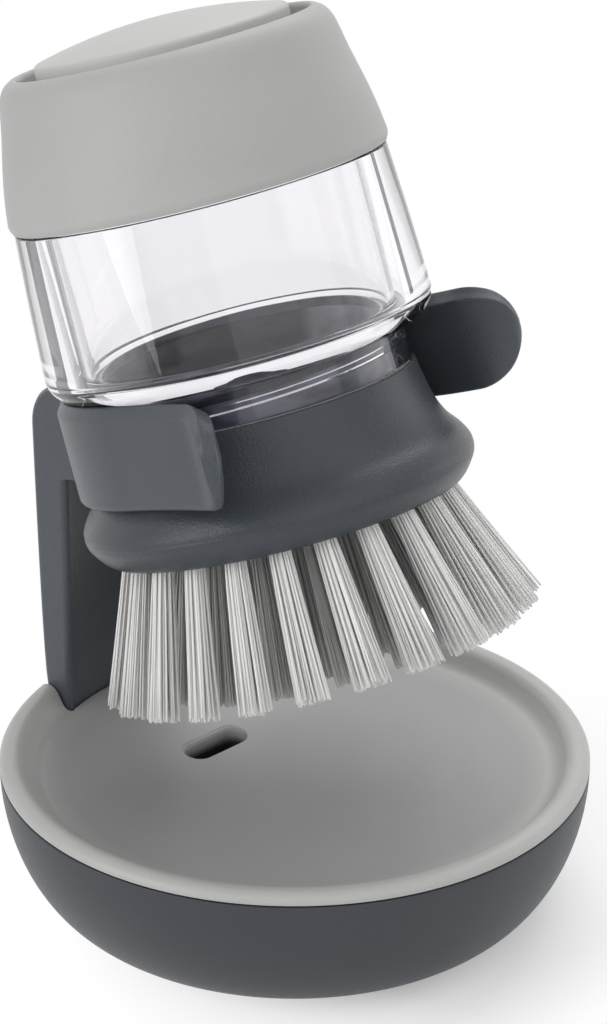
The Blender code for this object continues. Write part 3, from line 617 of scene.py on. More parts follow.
def painted_shade_tray_plastic(name, dish, rim):
    """The tray's satin plastic, with painted shade: darker in its dish than at its rim, and darker down
    the slot.
    """
    made = moulded(
        name, rim, roughness=0.42, grain=2200, depth=0.012, vary=0.02, speck=0.02, gloss=0.4,
    )
    nodes, links = made.node_tree.nodes, made.node_tree.links
    base = nodes["Principled BSDF"].inputs["Base Color"]
    place = object_place(nodes)
    # Painted shade: the dish is darker than the rim
    share = map_range(nodes, links, axis_distance(nodes, links, place), [r * MM for r in DISH_SHADE_EDGE])
    dish_shade_ratio = [d / r for d, r in zip(dish, rim)]
    tone = ramp(nodes, links, share, dish_shade_ratio, (1, 1, 1), 0, 1)
    dish_painted_shade = multiplied(nodes, links, base.links[0].from_socket, tone)
    # Painted shade: the slot's walls darken downwards
    parts = nodes.new("ShaderNodeSeparateXYZ")
    links.new(place, parts.inputs[0])
    height = map_range(nodes, links, parts.outputs["Z"], [z * MM for z in SLOT_PAINTED_SHADE_Z])
    wall = ramp(nodes, links, height, [SLOT_PAINTED_SHADE] * 3, [1] * 3, 0, 1)
    links.new(multiplied(nodes, links, dish_painted_shade, wall), base)
    return made


def clear_plastic():
    """Clear moulded plastic with a violet cast where it is seen through lengthways."""
    made, nodes, links, shader = new_material("clear_plastic")
    shader.inputs["Base Color"].default_value = CLEAR_TINT
    shader.inputs["Transmission Weight"].default_value = 1
    shader.inputs["IOR"].default_value = CLEAR_INDEX
    ripple = noise_node(nodes, links, object_place(nodes), CLEAR_RIPPLE, 1.0)
    links.new(spread(nodes, links, ripple, 0.0, 0.02), shader.inputs["Roughness"])
    relief(nodes, links, shader, ripple, 0.02)
    inside = nodes.new("ShaderNodeVolumeAbsorption")
    inside.inputs["Color"].default_value = CLEAR_DEPTH_TINT
    inside.inputs["Density"].default_value = CLEAR_DENSITY
    links.new(inside.outputs["Volume"], nodes["Material Output"].inputs["Volume"])
    return made


def plug_painted_light():
    """The head's polished plug, as seen through the clear neck: painted reflections in patches on its
    outside, and painted shade and painted light on the two sides of its cup.
    """
    made, nodes, links, shader = new_material("plug_plastic_painted_light")
    place = object_place(nodes)
    patch = noise_node(nodes, links, place, PLUG_PATCH, 2.5, PLUG_STRETCH)
    # Painted reflections: light and dark patches on the plug's outside
    outer = ramp(nodes, links, patch, (0.05, 0.054, 0.1), (0.26, 0.265, 0.38), 0.42, 0.6)
    # Painted shade on the cup's dark side, and painted light on its other side
    dark = ramp(nodes, links, patch, (0.006, 0.009, 0.04), (0.05, 0.056, 0.12), 0.46, 0.62)
    painted_lit_side = ramp(nodes, links, patch, (0.36, 0.37, 0.46), (0.82, 0.83, 0.93), 0.34, 0.56)
    aside = vector_math(nodes, links, "DOT_PRODUCT", place, TO_RIGHT)
    share = map_range(nodes, links, aside, [v * MM for v in CUP_PAINTED_LIGHT], smooth=True)
    own = nodes.new("ShaderNodeMapping")
    own.vector_type = "TEXTURE"
    own.inputs["Location"].default_value = Vector((0, BRUSH_Y, BRUSH_Z)) * MM
    own.inputs["Rotation"].default_value = (-TILT, 0, 0)
    links.new(place, own.inputs["Vector"])
    radius = axis_distance(nodes, links, own.outputs["Vector"])
    inside = number_math(nodes, links, "LESS_THAN", radius, (PLUG_R - CUP_INSET) * MM)
    factor = number_math(nodes, links, "MULTIPLY", share, inside)
    cup = mixed(nodes, links, factor, dark, painted_lit_side)
    links.new(mixed(nodes, links, inside, outer, cup), shader.inputs["Base Color"])
    links.new(spread(nodes, links, patch, 0.12, 0.2), shader.inputs["Roughness"])
    relief(nodes, links, shader, patch, 0.12)
    return made


def filament_plastic(name, low, high):
    """Pale nylon, each filament a little lighter or darker than the next."""
    made, nodes, links, shader = new_material(name)
    own = nodes.new("ShaderNodeNewGeometry").outputs["Random Per Island"]
    links.new(ramp(nodes, links, own, low, high, 0, 1), shader.inputs["Base Color"])
    streak = noise_node(nodes, links, object_place(nodes), FILAMENT_STREAK, 1.0)
    links.new(spread(nodes, links, streak, 0.32, 0.45), shader.inputs["Roughness"])
    return made


def drawn_steel():
    made, nodes, links, shader = new_material("steel")
    streak = noise_node(nodes, links, object_place(nodes), STEEL_STREAK, 2.0)
    links.new(ramp(nodes, links, streak, [0.5] * 3, [0.66] * 3), shader.inputs["Base Color"])
    shader.inputs["Metallic"].default_value = 1
    links.new(spread(nodes, links, streak, 0.2, 0.34), shader.inputs["Roughness"])
    return made


# Stand

def bowl_side(top_radius, floor_z, count=24):
    """The bowl's side from the seam down to its foot."""
    points = []
    for i in range(count + 1):
        angle = math.pi / 2 * i / count
        radius = FOOT_R + (top_radius - FOOT_R) * math.cos(angle)
        points.append((radius, floor_z + (SEAM_Z - floor_z) * (1 - math.sin(angle) ** BOWL_POWER)))
    return points


def make_bowl(finish):
    inside = bowl_side(STAND_R - WALL, FLOOR_Z)
    outside = bowl_side(STAND_R, PAD_PROUD)
    inside[0] = (*inside[0], SOFT)
    outside[0] = (*outside[0], 0.35)
    under = [(PAD_R + FIT, PAD_PROUD, SOFT), (PAD_R + FIT, PAD_T + FIT), (0, PAD_T + FIT)]
    outline = [(0, FLOOR_Z)] + inside[::-1] + outside + under
    bowl = lathe("stand_bowl", outline, None, finish, False)
    hole = [(0, HOLE_TOP), (SCREW_HOLE_R, HOLE_TOP), (SCREW_HOLE_R, SCREW_SEAT)]
    hole += [(SCREW_HEAD_R, SCREW_SEAT), (SCREW_HEAD_R, HOLE_LOW), (0, HOLE_LOW)]
    holes = []
    for side in (-1, 1):
        place = Matrix.Translation((side * SCREW_X, SCREW_Y, 0))
        holes.append(lathe(f"hole_{side}", hole, place, None, False, HOLE_STEPS))
    cut(bowl, holes)
    return finish_shading(bowl)


def dish_z(radius):
    return DISH_LOW + DISH_RISE * (radius / DISH_R) ** 2


def slot_loop(z, extra):
    """The slot's outline at a height, wider all round by an extra."""
    straight = (SLOT_LENGTH - SLOT_W) / 2
    radius = SLOT_W / 2 + extra
    points = []
    for i in range(SLOT_STEPS):
        angle = math.tau * (i + 0.5) / SLOT_STEPS
        x = radius * math.cos(angle) + math.copysign(straight, math.cos(angle))
        points.append((x, SLOT_Y + radius * math.sin(angle), z))
    return points


def slot_shapes():
    """The slot's cutter, with a rounded lead-in, and the short skirt that it cuts through."""
    surface = dish_z(SLOT_Y + SLOT_W / 2)
    loops = [slot_loop(surface + over, SLOT_LEAD + SLOT_WIDER) for over in SLOT_OVER]
    for k in range(1, 7):
        angle = math.pi / 2 * k / 6
        drop = SLOT_LEAD * SLOT_LEAD_SHARE * (1 - math.cos(angle))
        loops.append(slot_loop(surface - drop, SLOT_LEAD * (1 - math.sin(angle))))
    loops.append(slot_loop(surface - SLOT_SKIRT - SLOT_UNDER, 0))
    skirt = [slot_loop(surface - h, SLOT_WALL) for h in (SLOT_SKIRT, SLOT_SKIRT_TOP)]
    return skin_shape(loops), skin_shape(skirt)


def notch_shape():
    """The cutter of the tray's notch, which clears the post all round."""
    front_r = POST_FRONT_R - NOTCH_GAP
    section = level_outline(
        lambda x: math.sqrt(front_r ** 2 - x ** 2), lambda x: STAND_R + NOTCH_OUT,
        POST_HALF + NOTCH_GAP, POST_EDGE,
    )
    return skin_shape([[(x, y, z) for x, y in section] for z in NOTCH_Z])


def make_tray(finish):
    radii = [DISH_R * k / DISH_STEPS for k in range(DISH_STEPS + 1)]
    floor = [(radius, dish_z(radius)) for radius in radii]
    skirt = [
        (STAND_R, SEAM_Z + FIT, 0.25), (SKIRT_R, SEAM_Z + FIT), (SKIRT_R, SKIRT_Z, SOFT),
        (DISH_R + RIM_W / 2, SKIRT_Z),
    ]
    under = [(r, z - TRAY_T) for r, z in reversed(floor)]
    outline = floor + flowing(RIM_LINE)[1:] + skirt + under
    tray = lathe("drip_tray_dish", outline, None, finish, False)
    slot, slot_skirt = slot_shapes()
    cut(tray, [to_object("slot_skirt", slot_skirt)], "UNION")
    cut(tray, [to_object("slot", slot), to_object("notch", notch_shape())])
    return finish_shading(tray, 35)


def level_outline(front, back, half, edge, steps=24, edge_steps=5):
    """One level of the post, round at its four corners."""
    flat = half - edge
    across = [-flat + 2 * flat * i / steps for i in range(steps + 1)]
    angles = [math.pi / 2 * k / edge_steps for k in range(edge_steps + 1)]
    right = [
        (flat + edge * math.sin(a), front(half) + edge * (1 - math.cos(a))) for a in angles[1:]
    ]
    right += [
        (flat + edge * math.cos(a), back(half) - edge * (1 - math.sin(a))) for a in angles[:-1]
    ]
    points = [(x, front(x)) for x in across] + right
    points += [(x, back(x)) for x in reversed(across)]
    points += [(-x, y) for x, y in reversed(right)]
    return points


def seat_h(radius):
    """Height, in the brush's frame, at which the cradle stays clear of the shoulder."""
    return read_between(SHOULDER_LINE, radius) - SHOULDER_GAP


def waist_r(height):
    return read_between([(h, r) for r, h in WAIST_LINE], height)


def post_top():
    return BRUSH_Z - CREST_R * math.sin(TILT) + (seat_h(CREST_R) - EDGE) * math.cos(TILT)


def bowl_inner_r(height):
    rise = (height - FLOOR_Z) / (SEAM_Z - FLOOR_Z)
    sine = (1 - rise) ** (1 / BOWL_POWER)
    return FOOT_R + (STAND_R - WALL - FOOT_R) * math.sqrt(1 - sine * sine)


def cradle_front_y(x, z):
    back = math.sqrt(CREST_R ** 2 - x ** 2)
    height = (z - BRUSH_Z + back * math.sin(TILT)) / math.cos(TILT)
    return BRUSH_Y + back * math.cos(TILT) + height * math.sin(TILT)


def cradle_low_z():
    return BRUSH_Z - CRADLE_OUT * math.sin(TILT) + CRADLE_LOW * math.cos(TILT)


def post_loop(z, back_r):
    """The post's outline at a height: its front turns into the cradle, its back rounds off."""
    merge = min(max((z - cradle_low_z() + EDGE) / (2 * EDGE), 0), 1) ** 2
    rise = min(max((z - post_top() + POST_TOP_ROUND) / POST_TOP_ROUND, 0), 1)
    drop = POST_TOP_ROUND * (1 - math.sqrt(1 - rise ** 2))

    def front(x):
        plain = math.sqrt(POST_FRONT_R ** 2 - x ** 2)
        return plain + (cradle_front_y(x, z) - plain) * merge

    def back(x):
        return math.sqrt(back_r ** 2 - x ** 2) - drop

    return [(x, y, z) for x, y in level_outline(front, back, POST_HALF, POST_EDGE)]


def post_back(z):
    """Radius of the post's back: inside the bowl below the seam, leaning out above it."""
    if z < SEAM_Z + FIT:
        return bowl_inner_r(min(z, SEAM_Z)) - POST_FIT
    return POST_BACK_R + POST_LEAN * math.sqrt((z - SEAM_Z) / (post_top() - SEAM_Z))


def make_post(finish):
    """The post with its foot and the cradle, one moulding."""
    low = cradle_low_z()
    start = post_top() - POST_TOP_ROUND
    heights = [POST_LOW, POST_LOW + 2.5, POST_LOW + 5, SEAM_Z]
    heights += [SEAM_Z + (low - EDGE - SEAM_Z) * k / 10 for k in range(1, 11)]
    heights += [low + EDGE * share for share in MERGE_SHARES]
    heights += [h for h in (start - 6, start - 3) if h > low + 3 * EDGE]
    heights += [start + POST_TOP_ROUND * math.sin(math.radians(a)) for a in range(0, 81, 8)]
    loops = []
    for z in heights:
        if z == SEAM_Z:
            loops.append(post_loop(z + FIT, post_back(z)))
            z += FIT
        loops.append(post_loop(z, post_back(z)))
    post = to_object("stand_post", skin_shape(loops), None, finish)
    cradle = to_object("cradle", cradle_shape(), brush_matrix())
    foot = to_object("foot", foot_shape())
    cut(post, [cradle, foot], "UNION", "MANIFOLD")
    post.data.shade_smooth()
    return finish_shading(post, 35)


def foot_shape():
    """The post's foot, which follows the bowl's inside down to its floor."""
    low = FLOOR_Z + FIT
    top = POST_LOW + FOOT_LAP
    levels = [low + (top - low) * k / 8 for k in range(9)]

    def outer(z):
        return math.sqrt((bowl_inner_r(z) - FOOT_FIT) ** 2 - FOOT_HALF ** 2)

    inner = outer(low) - FOOT_DEPTH
    outline = [(inner, low)] + [(outer(z), z) for z in levels]
    outline += [(POST_FRONT_R - FOOT_T, top), (inner + FOOT_DEPTH, low + FOOT_T)]
    outline += [(inner, low + FOOT_T)]
    return skin_shape([[(x, y, z) for y, z in outline] for x in (-FOOT_HALF, FOOT_HALF)])


def cradle_path(distance):
    """Point and outward angle on the cradle's outer face, by distance from the back."""
    quarter = CRADLE_OUT * math.pi / 2
    if distance <= quarter:
        angle = distance / CRADLE_OUT
        return Vector((CRADLE_OUT * math.sin(angle), CRADLE_OUT * math.cos(angle))), angle
    distance -= quarter
    if distance <= CRADLE_LEG:
        return Vector((CRADLE_OUT, -distance)), math.pi / 2
    distance -= CRADLE_LEG
    turn = min(distance / FLARE_R, FLARE_ANGLE)
    rest = max(distance - FLARE_R * FLARE_ANGLE, 0)
    aside = CRADLE_OUT + FLARE_R * (1 - math.cos(turn))
    point = Vector((aside, -CRADLE_LEG - FLARE_R * math.sin(turn)))
    return point + Vector((math.sin(turn), -math.cos(turn))) * rest, math.pi / 2 - turn


def cradle_section():
    """The cradle's wall as (depth in from its outer face, height), with a chamfered top edge."""
    crest = seat_h(CREST_R)
    middle_r = (CREST_R + CRADLE_IN) / 2
    points = [
        (CRADLE_OUT, CRADLE_LOW, EDGE), (CRADLE_OUT, crest - CHAMFER_H, 0.25),
        (CRADLE_OUT - CHAMFER_IN, crest, FULL), (middle_r, seat_h(middle_r), 0.4),
        (CRADLE_IN, seat_h(CRADLE_IN) - EDGE / 2, FULL), (CRADLE_IN, HEAD_TOP - EDGE),
    ]
    for share in WAIST_SHARES:
        height = HEAD_TOP + (CRADLE_LOW - HEAD_TOP) * share
        points.append((max(waist_r(height) + WAIST_GAP, CRADLE_IN), height))
    points.append((max(waist_r(CRADLE_LOW) + WAIST_GAP_LOW, CRADLE_IN), CRADLE_LOW, 0.4))
    return [(CRADLE_OUT - r, h) for r, h in rounded(points, True)]


def cradle_shape():
    """The cradle from tip to tip: its wall thins towards the tips and rounds off there."""
    section = cradle_section()
    heights = [h for _, h in section]
    middle = (max(heights) + min(heights)) / 2
    tip_r = (max(heights) - min(heights)) / 2
    quarter = CRADLE_OUT * math.pi / 2
    length = quarter + CRADLE_LEG + FLARE_R * FLARE_ANGLE + FLARE_TAIL
    stops = [quarter * i / 40 for i in range(41)]
    stops += [quarter + (length - tip_r - quarter) * i / 20 for i in range(1, 21)]
    stops += [length - tip_r * (1 - math.cos(math.radians(90 - a))) for a in range(4, 88, 4)]
    right, left = [], []
    for stop in stops:
        beyond = length - stop
        along = max(stop - quarter, 0) / (length - quarter)
        squeeze = 1.0
        if beyond < tip_r:
            squeeze = math.sqrt(1 - ((tip_r - beyond) / tip_r) ** 2)
        thin = TIP_SHARE + (1 - TIP_SHARE) * min(beyond / (2 * tip_r), 1)
        if beyond < EDGE:
            thin *= TIP_BLUNT + (1 - TIP_BLUNT) * math.sqrt(beyond / EDGE)
        point, angle = cradle_path(stop)
        outward = Vector((math.sin(angle), math.cos(angle)))
        tall = squeeze * (1 + TIP_TALLER / tip_r * along ** 2)
        for rows, side, rise in ((right, 1, RIGHT_RISE), (left, -1, LEFT_RISE)):
            loop = []
            for depth, height in section:
                place = point - outward * depth * thin
                level = middle + rise * along ** 2 + (height - middle) * tall
                loop.append((side * place.x, place.y, level))
            rows.append(loop)
    return skin_shape(left[:0:-1] + right)


# Brush

def with_parting(line):
    """The outline with the mould's parting line, a hair's height, at its widest point."""
    widest = max(line)
    at = line.index(widest)
    radius, height = widest
    bead = [
        (radius, height + PARTING_FOOT), (radius + PARTING, height + PARTING_HALF),
        (radius + PARTING, height - PARTING_HALF), (radius, height - PARTING_FOOT),
    ]
    above = [p for p in line[:at] if p[1] > height + PARTING_CLEAR]
    below = [p for p in line[at + 1:] if p[1] < height - PARTING_CLEAR]
    return above + bead + below


def make_head(finish, frame):
    """Waist and flange, open to the plug's underside."""
    waist = flowing(WAIST_LINE + UNDER_LINE)
    outline = [(HEAD_BORE_R, HEAD_DECK), (GROOVE_R, HEAD_DECK), (GROOVE_R, HEAD_TOP, FINE)]
    outline += [(WAIST_R, HEAD_TOP, 0.25)] + with_parting(waist[1:-1])
    outline += [(HEAD_FOOT_R, HEAD_LOW), (PLATE_R, HEAD_LOW, SOFT), (PLATE_R, PLATE_TOP)]
    outline += [(HEAD_BORE_R, PLATE_TOP)]
    return finish_shading(lathe("brush_head_body", outline, frame, finish))


def make_plug(finish, frame):
    """The polished plug and soap cup, of one moulding with the head."""
    outline = [(PLUG_R, PLUG_TOP, FINE), (PLUG_R, PLUG_FOOT), (PLUG_SHANK_R, PLUG_SHANK_TOP)]
    outline += [(PLUG_SHANK_R, CUP_LOW), (CUP_HOLE_R, CUP_LOW), (CUP_HOLE_R, CUP_FLOOR, 0.4)]
    outline += [(CUP_R, CUP_FLOOR, 3), (CUP_R, CUP_BEND, 4), (CUP_MOUTH_R, PLUG_TOP, FINE)]
    return finish_shading(lathe("brush_head_plug", outline, frame, finish))


def rib_shape(wall_r, proud, sink, start, turns, drop):
    """A helical rib on a round wall, proud of it and sunk in it by so much outwards."""
    count = round(THREAD_STEPS * turns)
    middle = (HEAD_TOP + PLUG_TOP - THREAD_TURNS * THREAD_LEAD) / 2 - drop
    loops = []
    for i in range(count + 1):
        angle = start + math.tau * turns * i / count
        ease = min(1, i / THREAD_EASE, (count - i) / THREAD_EASE)
        out = sink / 2 + (proud - sink / 2) * math.sqrt(ease)
        height = middle + THREAD_LEAD * angle / math.tau
        side = [(wall_r + sink, THREAD_FOOT)]
        side += [(wall_r + out * share, half) for share, half in THREAD_CREST]
        section = side + [(r, -half) for r, half in reversed(side)]
        loops.append([(r * math.cos(angle), r * math.sin(angle), height + dz) for r, dz in section])
    return skin_shape(loops)


def make_reservoir(finish, frame):
    """The clear vessel: a bore and an outer wall, joined at the foot."""
    shoulder = flowing(SHOULDER_LINE)
    outline = [
        (COLLAR_R, COLLAR_TOP, SOFT), (COLLAR_FOOT_R, TANK_TOP), (TANK_TOP_R, TANK_TOP, SOFT),
        TANK_MIDDLE, *shoulder[:-1], (NECK_R, NECK_TOP, FULL), (NECK_R, NECK_LOW, SOFT),
        (BORE_R, NECK_LOW, SOFT), (BORE_R, PLUG_TOP), (BORE_TOP_R, COLLAR_TOP),
        (SLEEVE_TOP_R, COLLAR_TOP), (NECK_R, GAP_LOW, FULL), (GAP_R, GAP_LOW, FULL),
        (GAP_TOP_R, COLLAR_TOP),
    ]
    vessel = lathe("reservoir_vessel", outline, frame, finish, True, CLEAR_STEPS)
    rib = rib_shape(BORE_R, proud=-0.8, sink=0.75, start=math.radians(60), turns=0.75, drop=1.9)
    cut(vessel, [to_object("bore_rib", rib, frame)], "UNION", "MANIFOLD")
    vessel.data.shade_smooth()
    return finish_shading(vessel, 30)


def make_cap(finish, frame):
    side = [(radius - CAP_INSET, height) for radius, height in flowing(CAP_LINE)]
    outline = [(CAP_HOLE_R, CAP_LIP_Z, FULL), (CAP_LIP_R, CAP_TOP, SOFT)] + side
    outline += [(CAP_FOOT_R, CAP_LOW), (CAP_BORE_R, COLLAR_TOP), (CAP_BORE_R, CAP_SHELF)]
    outline += [(CAP_WELL_R, CAP_SHELF), (CAP_WELL_R, CAP_ROOF), (CAP_HOLE_R, CAP_ROOF, FINE)]
    return finish_shading(lathe("grip_cap_shell", outline, frame, finish), 50)


def make_button(finish, frame):
    shares = [k / CROWN_STEPS for k in range(CROWN_STEPS)]
    outline = [(BUTTON_R * s, BUTTON_EDGE_Z + BUTTON_DOME * (1 - s ** 2)) for s in shares]
    top, low = BUTTON_FLANGE_Z
    outline += [(BUTTON_R, BUTTON_EDGE_Z, BUTTON_EDGE), (BUTTON_R, top)]
    outline += [(BUTTON_FLANGE_R, top, FINE), (BUTTON_FLANGE_R, low), (BUTTON_HOLLOW_R, low)]
    outline += [(BUTTON_HOLLOW_R, BUTTON_HOLLOW_Z), (PLUNGER_R, BUTTON_HOLLOW_Z)]
    outline += [(PLUNGER_R, PLUNGER_LOW, 0.4), (0, PLUNGER_LOW)]
    return finish_shading(lathe("push_button_crown", outline, frame, finish, False), 50)


def tuft_frame(radius, angle, splay):
    place = Matrix.Translation((radius, 0, TUFT_FACE))
    lean = Matrix.Rotation(math.pi - splay, 4, "Y")
    return Matrix.Rotation(angle, 4, "Z") @ place @ lean


def add_filament(shape, matrix, root, tip, length, bow):
    """One filament from below the plate's face to its cut end, slightly bowed."""
    rows = []
    around = [math.tau * i / FILAMENT_SIDES for i in range(FILAMENT_SIDES)]
    for k in range(FILAMENT_STEPS + 1):
        t = k / FILAMENT_STEPS
        x, y = [a + (b - a) * t + c * math.sin(math.pi * t) for a, b, c in zip(root, tip, bow)]
        z = (length + TUFT_SINK) * t - TUFT_SINK
        ring = [(x + FILAMENT_R * math.cos(a), y + FILAMENT_R * math.sin(a), z) for a in around]
        rows.append([shape.verts.new(matrix @ Vector(point)) for point in ring])
    bridge(shape, rows)
    shape.faces.new(rows[-1])


def make_tufts(finishes, frame):
    """Each ring of tufts as one piece of separate filaments."""
    source = random.Random(SEED)
    plane = (math.cos, math.sin)
    made = []
    for ring, radius, count, half, splay, tip_r, number in RINGS:
        shape = bmesh.new()
        for index in range(count):
            angle = TUFT_TURN + math.tau * (index + half) / count
            lean = splay + SPLAY_RIGHT * max(0, math.cos(angle))
            lean += source.uniform(-1, 1) * SPLAY_STRAY
            matrix = tuft_frame(radius, angle, lean)
            wider = 1 + FAN_WIDER * max(0, math.cos(angle - FAN_SIDE))
            for k in range(number):
                around = k * FILAMENT_TURN
                out = math.sqrt((k + 0.5) / number)
                reach = (tip_r - FILAMENT_INSET) * out * wider
                root = [TUFT_ROOT_R * out * f(around) for f in plane]
                tip = [reach * f(around) + source.uniform(-TIP_STRAY, TIP_STRAY) for f in plane]
                bow = [source.uniform(-BOW_STRAY, BOW_STRAY) for _ in plane]
                length = TUFT_LENGTH - source.uniform(0, LENGTH_STRAY)
                add_filament(shape, matrix, root, tip, length, bow)
        tufts = to_object(f"bristles_{ring}", shape, frame, finishes[ring])
        made.append((tufts, [f"tuft_{ring}_{i:02d}" for i in range(1, count + 1)]))
    return made


# Studio

def look_along(thing, direction):
    """Turns a camera or a lamp to look in a direction."""
    thing.rotation_mode = "QUATERNION"
    thing.rotation_quaternion = direction.to_track_quat("-Z", "Y")


def make_camera():
    az, el = CAMERA_AZIMUTH, CAMERA_ELEVATION
    back = Vector((math.sin(az) * math.cos(el), -math.cos(az) * math.cos(el), math.sin(el)))
    data = bpy.data.cameras.new("camera")
    data.lens = CAMERA_LENS
    data.sensor_width = CAMERA_SENSOR
    data.clip_start, data.clip_end = [reach * MM for reach in CAMERA_CLIP]
    camera = bpy.data.objects.new("camera", data)
    camera.location = (Vector(CAMERA_AIM) + back * CAMERA_DISTANCE) * MM
    look_along(camera, -back)
    bpy.context.scene.collection.objects.link(camera)
    bpy.context.scene.camera = camera


def seen_directly(nodes, links):
    """1 for rays from the camera, off a gloss or through something clear."""
    path = nodes.new("ShaderNodeLightPath")
    total = path.outputs["Is Camera Ray"]
    for name in ("Is Glossy Ray", "Is Transmission Ray"):
        total = number_math(nodes, links, "MAXIMUM", total, path.outputs[name])
    return total


def painted_streak_level(nodes, links, place):
    """1, less two strips of the far floor that only the clear walls bend into view: painted dark
    streaks in the clear plastic.
    """
    bent = nodes.new("ShaderNodeLightPath").outputs["Is Transmission Ray"]
    total = 0
    for side, middle, half in (FLAG_LEFT, FLAG_RIGHT):
        sideways = TO_RIGHT * -side
        start = (Vector((0, FLAG_Y, 0)) + sideways * FLAG_OUT) * MM
        away = vector_math(nodes, links, "SUBTRACT", place, start)
        away = vector_math(nodes, links, "MULTIPLY", away, (1, 1, 0))
        away = vector_math(nodes, links, "NORMALIZE", away)
        aside = vector_math(nodes, links, "DOT_PRODUCT", away, sideways)
        strip = number_math(nodes, links, "COMPARE", aside, middle, half)
        total = number_math(nodes, links, "ADD", strip, total)
    dark = number_math(nodes, links, "MULTIPLY", total, bent)
    return number_math(nodes, links, "MULTIPLY_ADD", dark, -STREAK_PAINTED_DARK, 1.0)


def white_light(nodes, links, kind, strength):
    """A white background or emission, at a plain strength or a socket's."""
    made = nodes.new(kind)
    made.inputs["Color"].default_value = WHITE
    feed(links, made.inputs["Strength"], strength)
    return made.outputs[0]


def join_shaders(nodes, links, kind, *sources):
    """A Mix Shader node of a factor and two shaders, or an Add Shader node of two."""
    made = nodes.new(kind)
    for socket, source in zip(made.inputs, sources):
        links.new(source, socket)
    return made.outputs[0]


def make_world():
    """Soft light all round, and a white backdrop that reflections show dimmer at the front."""
    world = bpy.data.worlds.new("studio")
    bpy.context.scene.world = world
    world.use_nodes = True
    nodes, links = world.node_tree.nodes, world.node_tree.links
    nodes.clear()
    place = nodes.new("ShaderNodeTexCoord").outputs["Generated"]
    facing = vector_math(nodes, links, "DOT_PRODUCT", place, TO_CAMERA)
    shade = map_range(nodes, links, facing, BACKDROP_EDGE, (1, FRONT_DIM))
    plain = nodes.new("ShaderNodeLightPath").outputs["Is Camera Ray"]
    level = number_math(nodes, links, "MAXIMUM", shade, plain)
    soft = white_light(nodes, links, "ShaderNodeBackground", SOFT_LIGHT)
    white = white_light(nodes, links, "ShaderNodeBackground", level)
    direct = seen_directly(nodes, links)
    mix = join_shaders(nodes, links, "ShaderNodeMixShader", direct, soft, white)
    links.new(mix, nodes.new("ShaderNodeOutputWorld").inputs["Surface"])


def make_floor():
    """A pale floor that keeps the shadow near the stand and is plain white further off."""
    shape = bmesh.new()
    bmesh.ops.create_grid(shape, x_segments=6, y_segments=6, size=FLOOR_HALF)
    bmesh.ops.translate(shape, verts=shape.verts, vec=(0, 0, -FLOOR_DROP))
    made, nodes, links, shader = new_material("floor_white")
    shader.inputs["Base Color"].default_value = FLOOR_TONE
    shader.inputs["Roughness"].default_value = FLOOR_ROUGHNESS
    shader.inputs["Specular IOR Level"].default_value = 0
    place = object_place(nodes)
    reach = vector_math(nodes, links, "DISTANCE", place, Vector(SHADOW_MIDDLE) * MM)
    far = map_range(nodes, links, reach, [r * MM for r in SHADOW_REACH])
    glow = white_light(nodes, links, "ShaderNodeEmission", FLOOR_GLOW)
    # Painted dark streaks, which show only through the clear walls
    level = painted_streak_level(nodes, links, place)
    white = white_light(nodes, links, "ShaderNodeEmission", level)
    near = join_shaders(nodes, links, "ShaderNodeAddShader", shader.outputs[0], glow)
    shown = join_shaders(nodes, links, "ShaderNodeMixShader", far, near, white)
    direct = seen_directly(nodes, links)
    mix = join_shaders(nodes, links, "ShaderNodeMixShader", direct, shader.outputs[0], shown)
    links.new(mix, nodes["Material Output"].inputs["Surface"])
    to_object("floor", shape, None, made)


def make_lamp(name, place, width, height, power):
    """A soft box, which clear plastic doesn't show."""
    data = bpy.data.lights.new(name, "AREA")
    data.shape = "RECTANGLE"
    data.size = width * MM
    data.size_y = height * MM
    data.energy = power
    lamp = bpy.data.objects.new(name, data)
    lamp.location = Vector(place) * MM
    lamp.visible_transmission = False
    look_along(lamp, Vector(LAMP_AIM) - Vector(place))
    bpy.context.scene.collection.objects.link(lamp)


def dress(piece, body, slot, *nodes):
    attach(piece, body)
    if nodes:
        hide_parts(*nodes)


def paint(frame, node, finish):
    """Gives a carried-over CAD node its finish."""
    piece = frame["nodes"][node]
    for place in piece.material_slots:
        place.material = finish
    if not piece.material_slots:
        piece.data.materials.append(finish)


def make_stand():
    # Painted light: the stand's plastic is the head's dark plastic made lighter, for the light on the
    # arms and post
    dark = moulded(
        "stand_plastic_painted_light", (0.071, 0.081, 0.094), roughness=0.38, grain=2600, depth=0.06,
        vary=0.05, speck=0.1, gloss=0.36,
    )
    bowl_dark = moulded(
        "bowl_plastic", (0.050, 0.055, 0.065), roughness=0.46, grain=2600, depth=0.03,
        vary=0.04, speck=0.08, gloss=0.35,
    )
    # The dish's colour is the rim's colour with painted shade
    tray_grey_painted_shade = painted_shade_tray_plastic("tray_plastic", (0.372, 0.378, 0.371), (0.49, 0.495, 0.48))
    dress(make_bowl(bowl_dark), "stand", "bowl_plastic", "base_bowl")
    dress(make_tray(tray_grey_painted_shade), "tray", "tray_plastic", "drip_tray")
    dress(make_post(dark), "stand", "dark_plastic", "cradle_post")


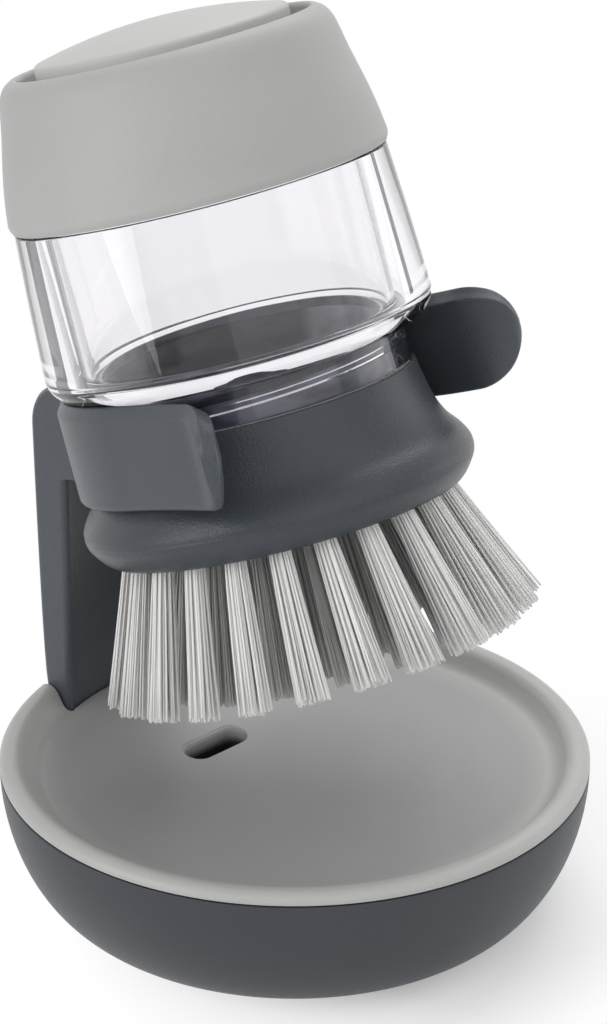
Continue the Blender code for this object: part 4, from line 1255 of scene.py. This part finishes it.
def make_brush():
    brush = brush_matrix()
    dark = moulded(
        "dark_plastic", (0.049, 0.057, 0.067), roughness=0.35, grain=2400, depth=0.08,
        vary=0.05, speck=0.1, gloss=0.36,
    )
    satin = {"roughness": 0.5, "grain": 2200, "depth": 0.012, "vary": 0.02, "speck": 0.02, "gloss": 0.3}
    cap_grey = moulded("cap_plastic", (0.455, 0.46, 0.45), **satin)
    button_grey = moulded("button_plastic", (0.56, 0.565, 0.545), **satin)
    bristle = filament_plastic("bristle", (0.74, 0.74, 0.725), (0.95, 0.95, 0.935))
    # Darker nylon for the middle and inner rings is painted shade between the tufts
    painted_shade_bristle = filament_plastic("bristle_painted_shade", (0.4, 0.4, 0.39), (0.6, 0.6, 0.59))
    dress(make_head(dark, brush), "head", "dark_plastic", "brush_head")
    # The plug's finish carries painted reflections, painted shade and painted light
    dress(make_plug(plug_painted_light(), brush), "head", "dark_plastic", "brush_head")
    thread = rib_shape(PLUG_R, proud=0.55, sink=-1, start=0, turns=THREAD_TURNS, drop=0)
    rib = to_object("plug_thread", thread, brush, dark)
    dress(finish_shading(rib), "head", "dark_plastic")
    dress(make_reservoir(clear_plastic(), brush), "reservoir", "clear_plastic", "reservoir")
    dress(make_cap(cap_grey, brush), "reservoir", "cap_plastic", "grip_cap")
    dress(make_button(button_grey, brush), "button", "button_plastic", "push_button")
    # The middle and inner rings take the nylon with painted shade
    for tufts, names in make_tufts({"outer": bristle, "middle": painted_shade_bristle, "inner": painted_shade_bristle}, brush):
        dress(tufts, "head", "bristle", *names)


def paint_inner(frame):
    """Finishes of the pieces that stay as the CAD has them."""
    steel = drawn_steel()
    fine = {"depth": 0.01, "vary": 0.03, "speck": 0.03}
    plate_grey = moulded("plate_plastic", (0.25, 0.26, 0.27), roughness=0.5, grain=2200, **fine)
    # Pale silicone, made whiter so that the gasket also serves as a painted highlight along the neck's
    # joint with the head
    silicone = moulded("silicone", (0.8, 0.8, 0.8), roughness=0.4, grain=1800, **fine)
    rubber = moulded(
        "pad_rubber", (0.03, 0.03, 0.03), roughness=0.8, grain=1800, depth=0.05, vary=0.1, speck=0.1,
    )
    for node, finish in (
        ("base_pad", rubber), ("post_screw_left", steel), ("post_screw_right", steel),
        ("tuft_plate", plate_grey), ("outlet_valve", silicone), ("valve_retainer", plate_grey),
        ("neck_gasket", silicone), ("pump_diaphragm", silicone), ("diaphragm_clamp", plate_grey),
        ("return_spring", steel),
    ):
        paint(frame, node, finish)


def main():
    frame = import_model()
    bpy.context.scene.view_settings.view_transform = "Standard"
    make_camera()
    make_world()
    make_floor()
    for lamp in LAMPS:
        make_lamp(*lamp)
    make_stand()
    make_brush()
    paint_inner(frame)


main()
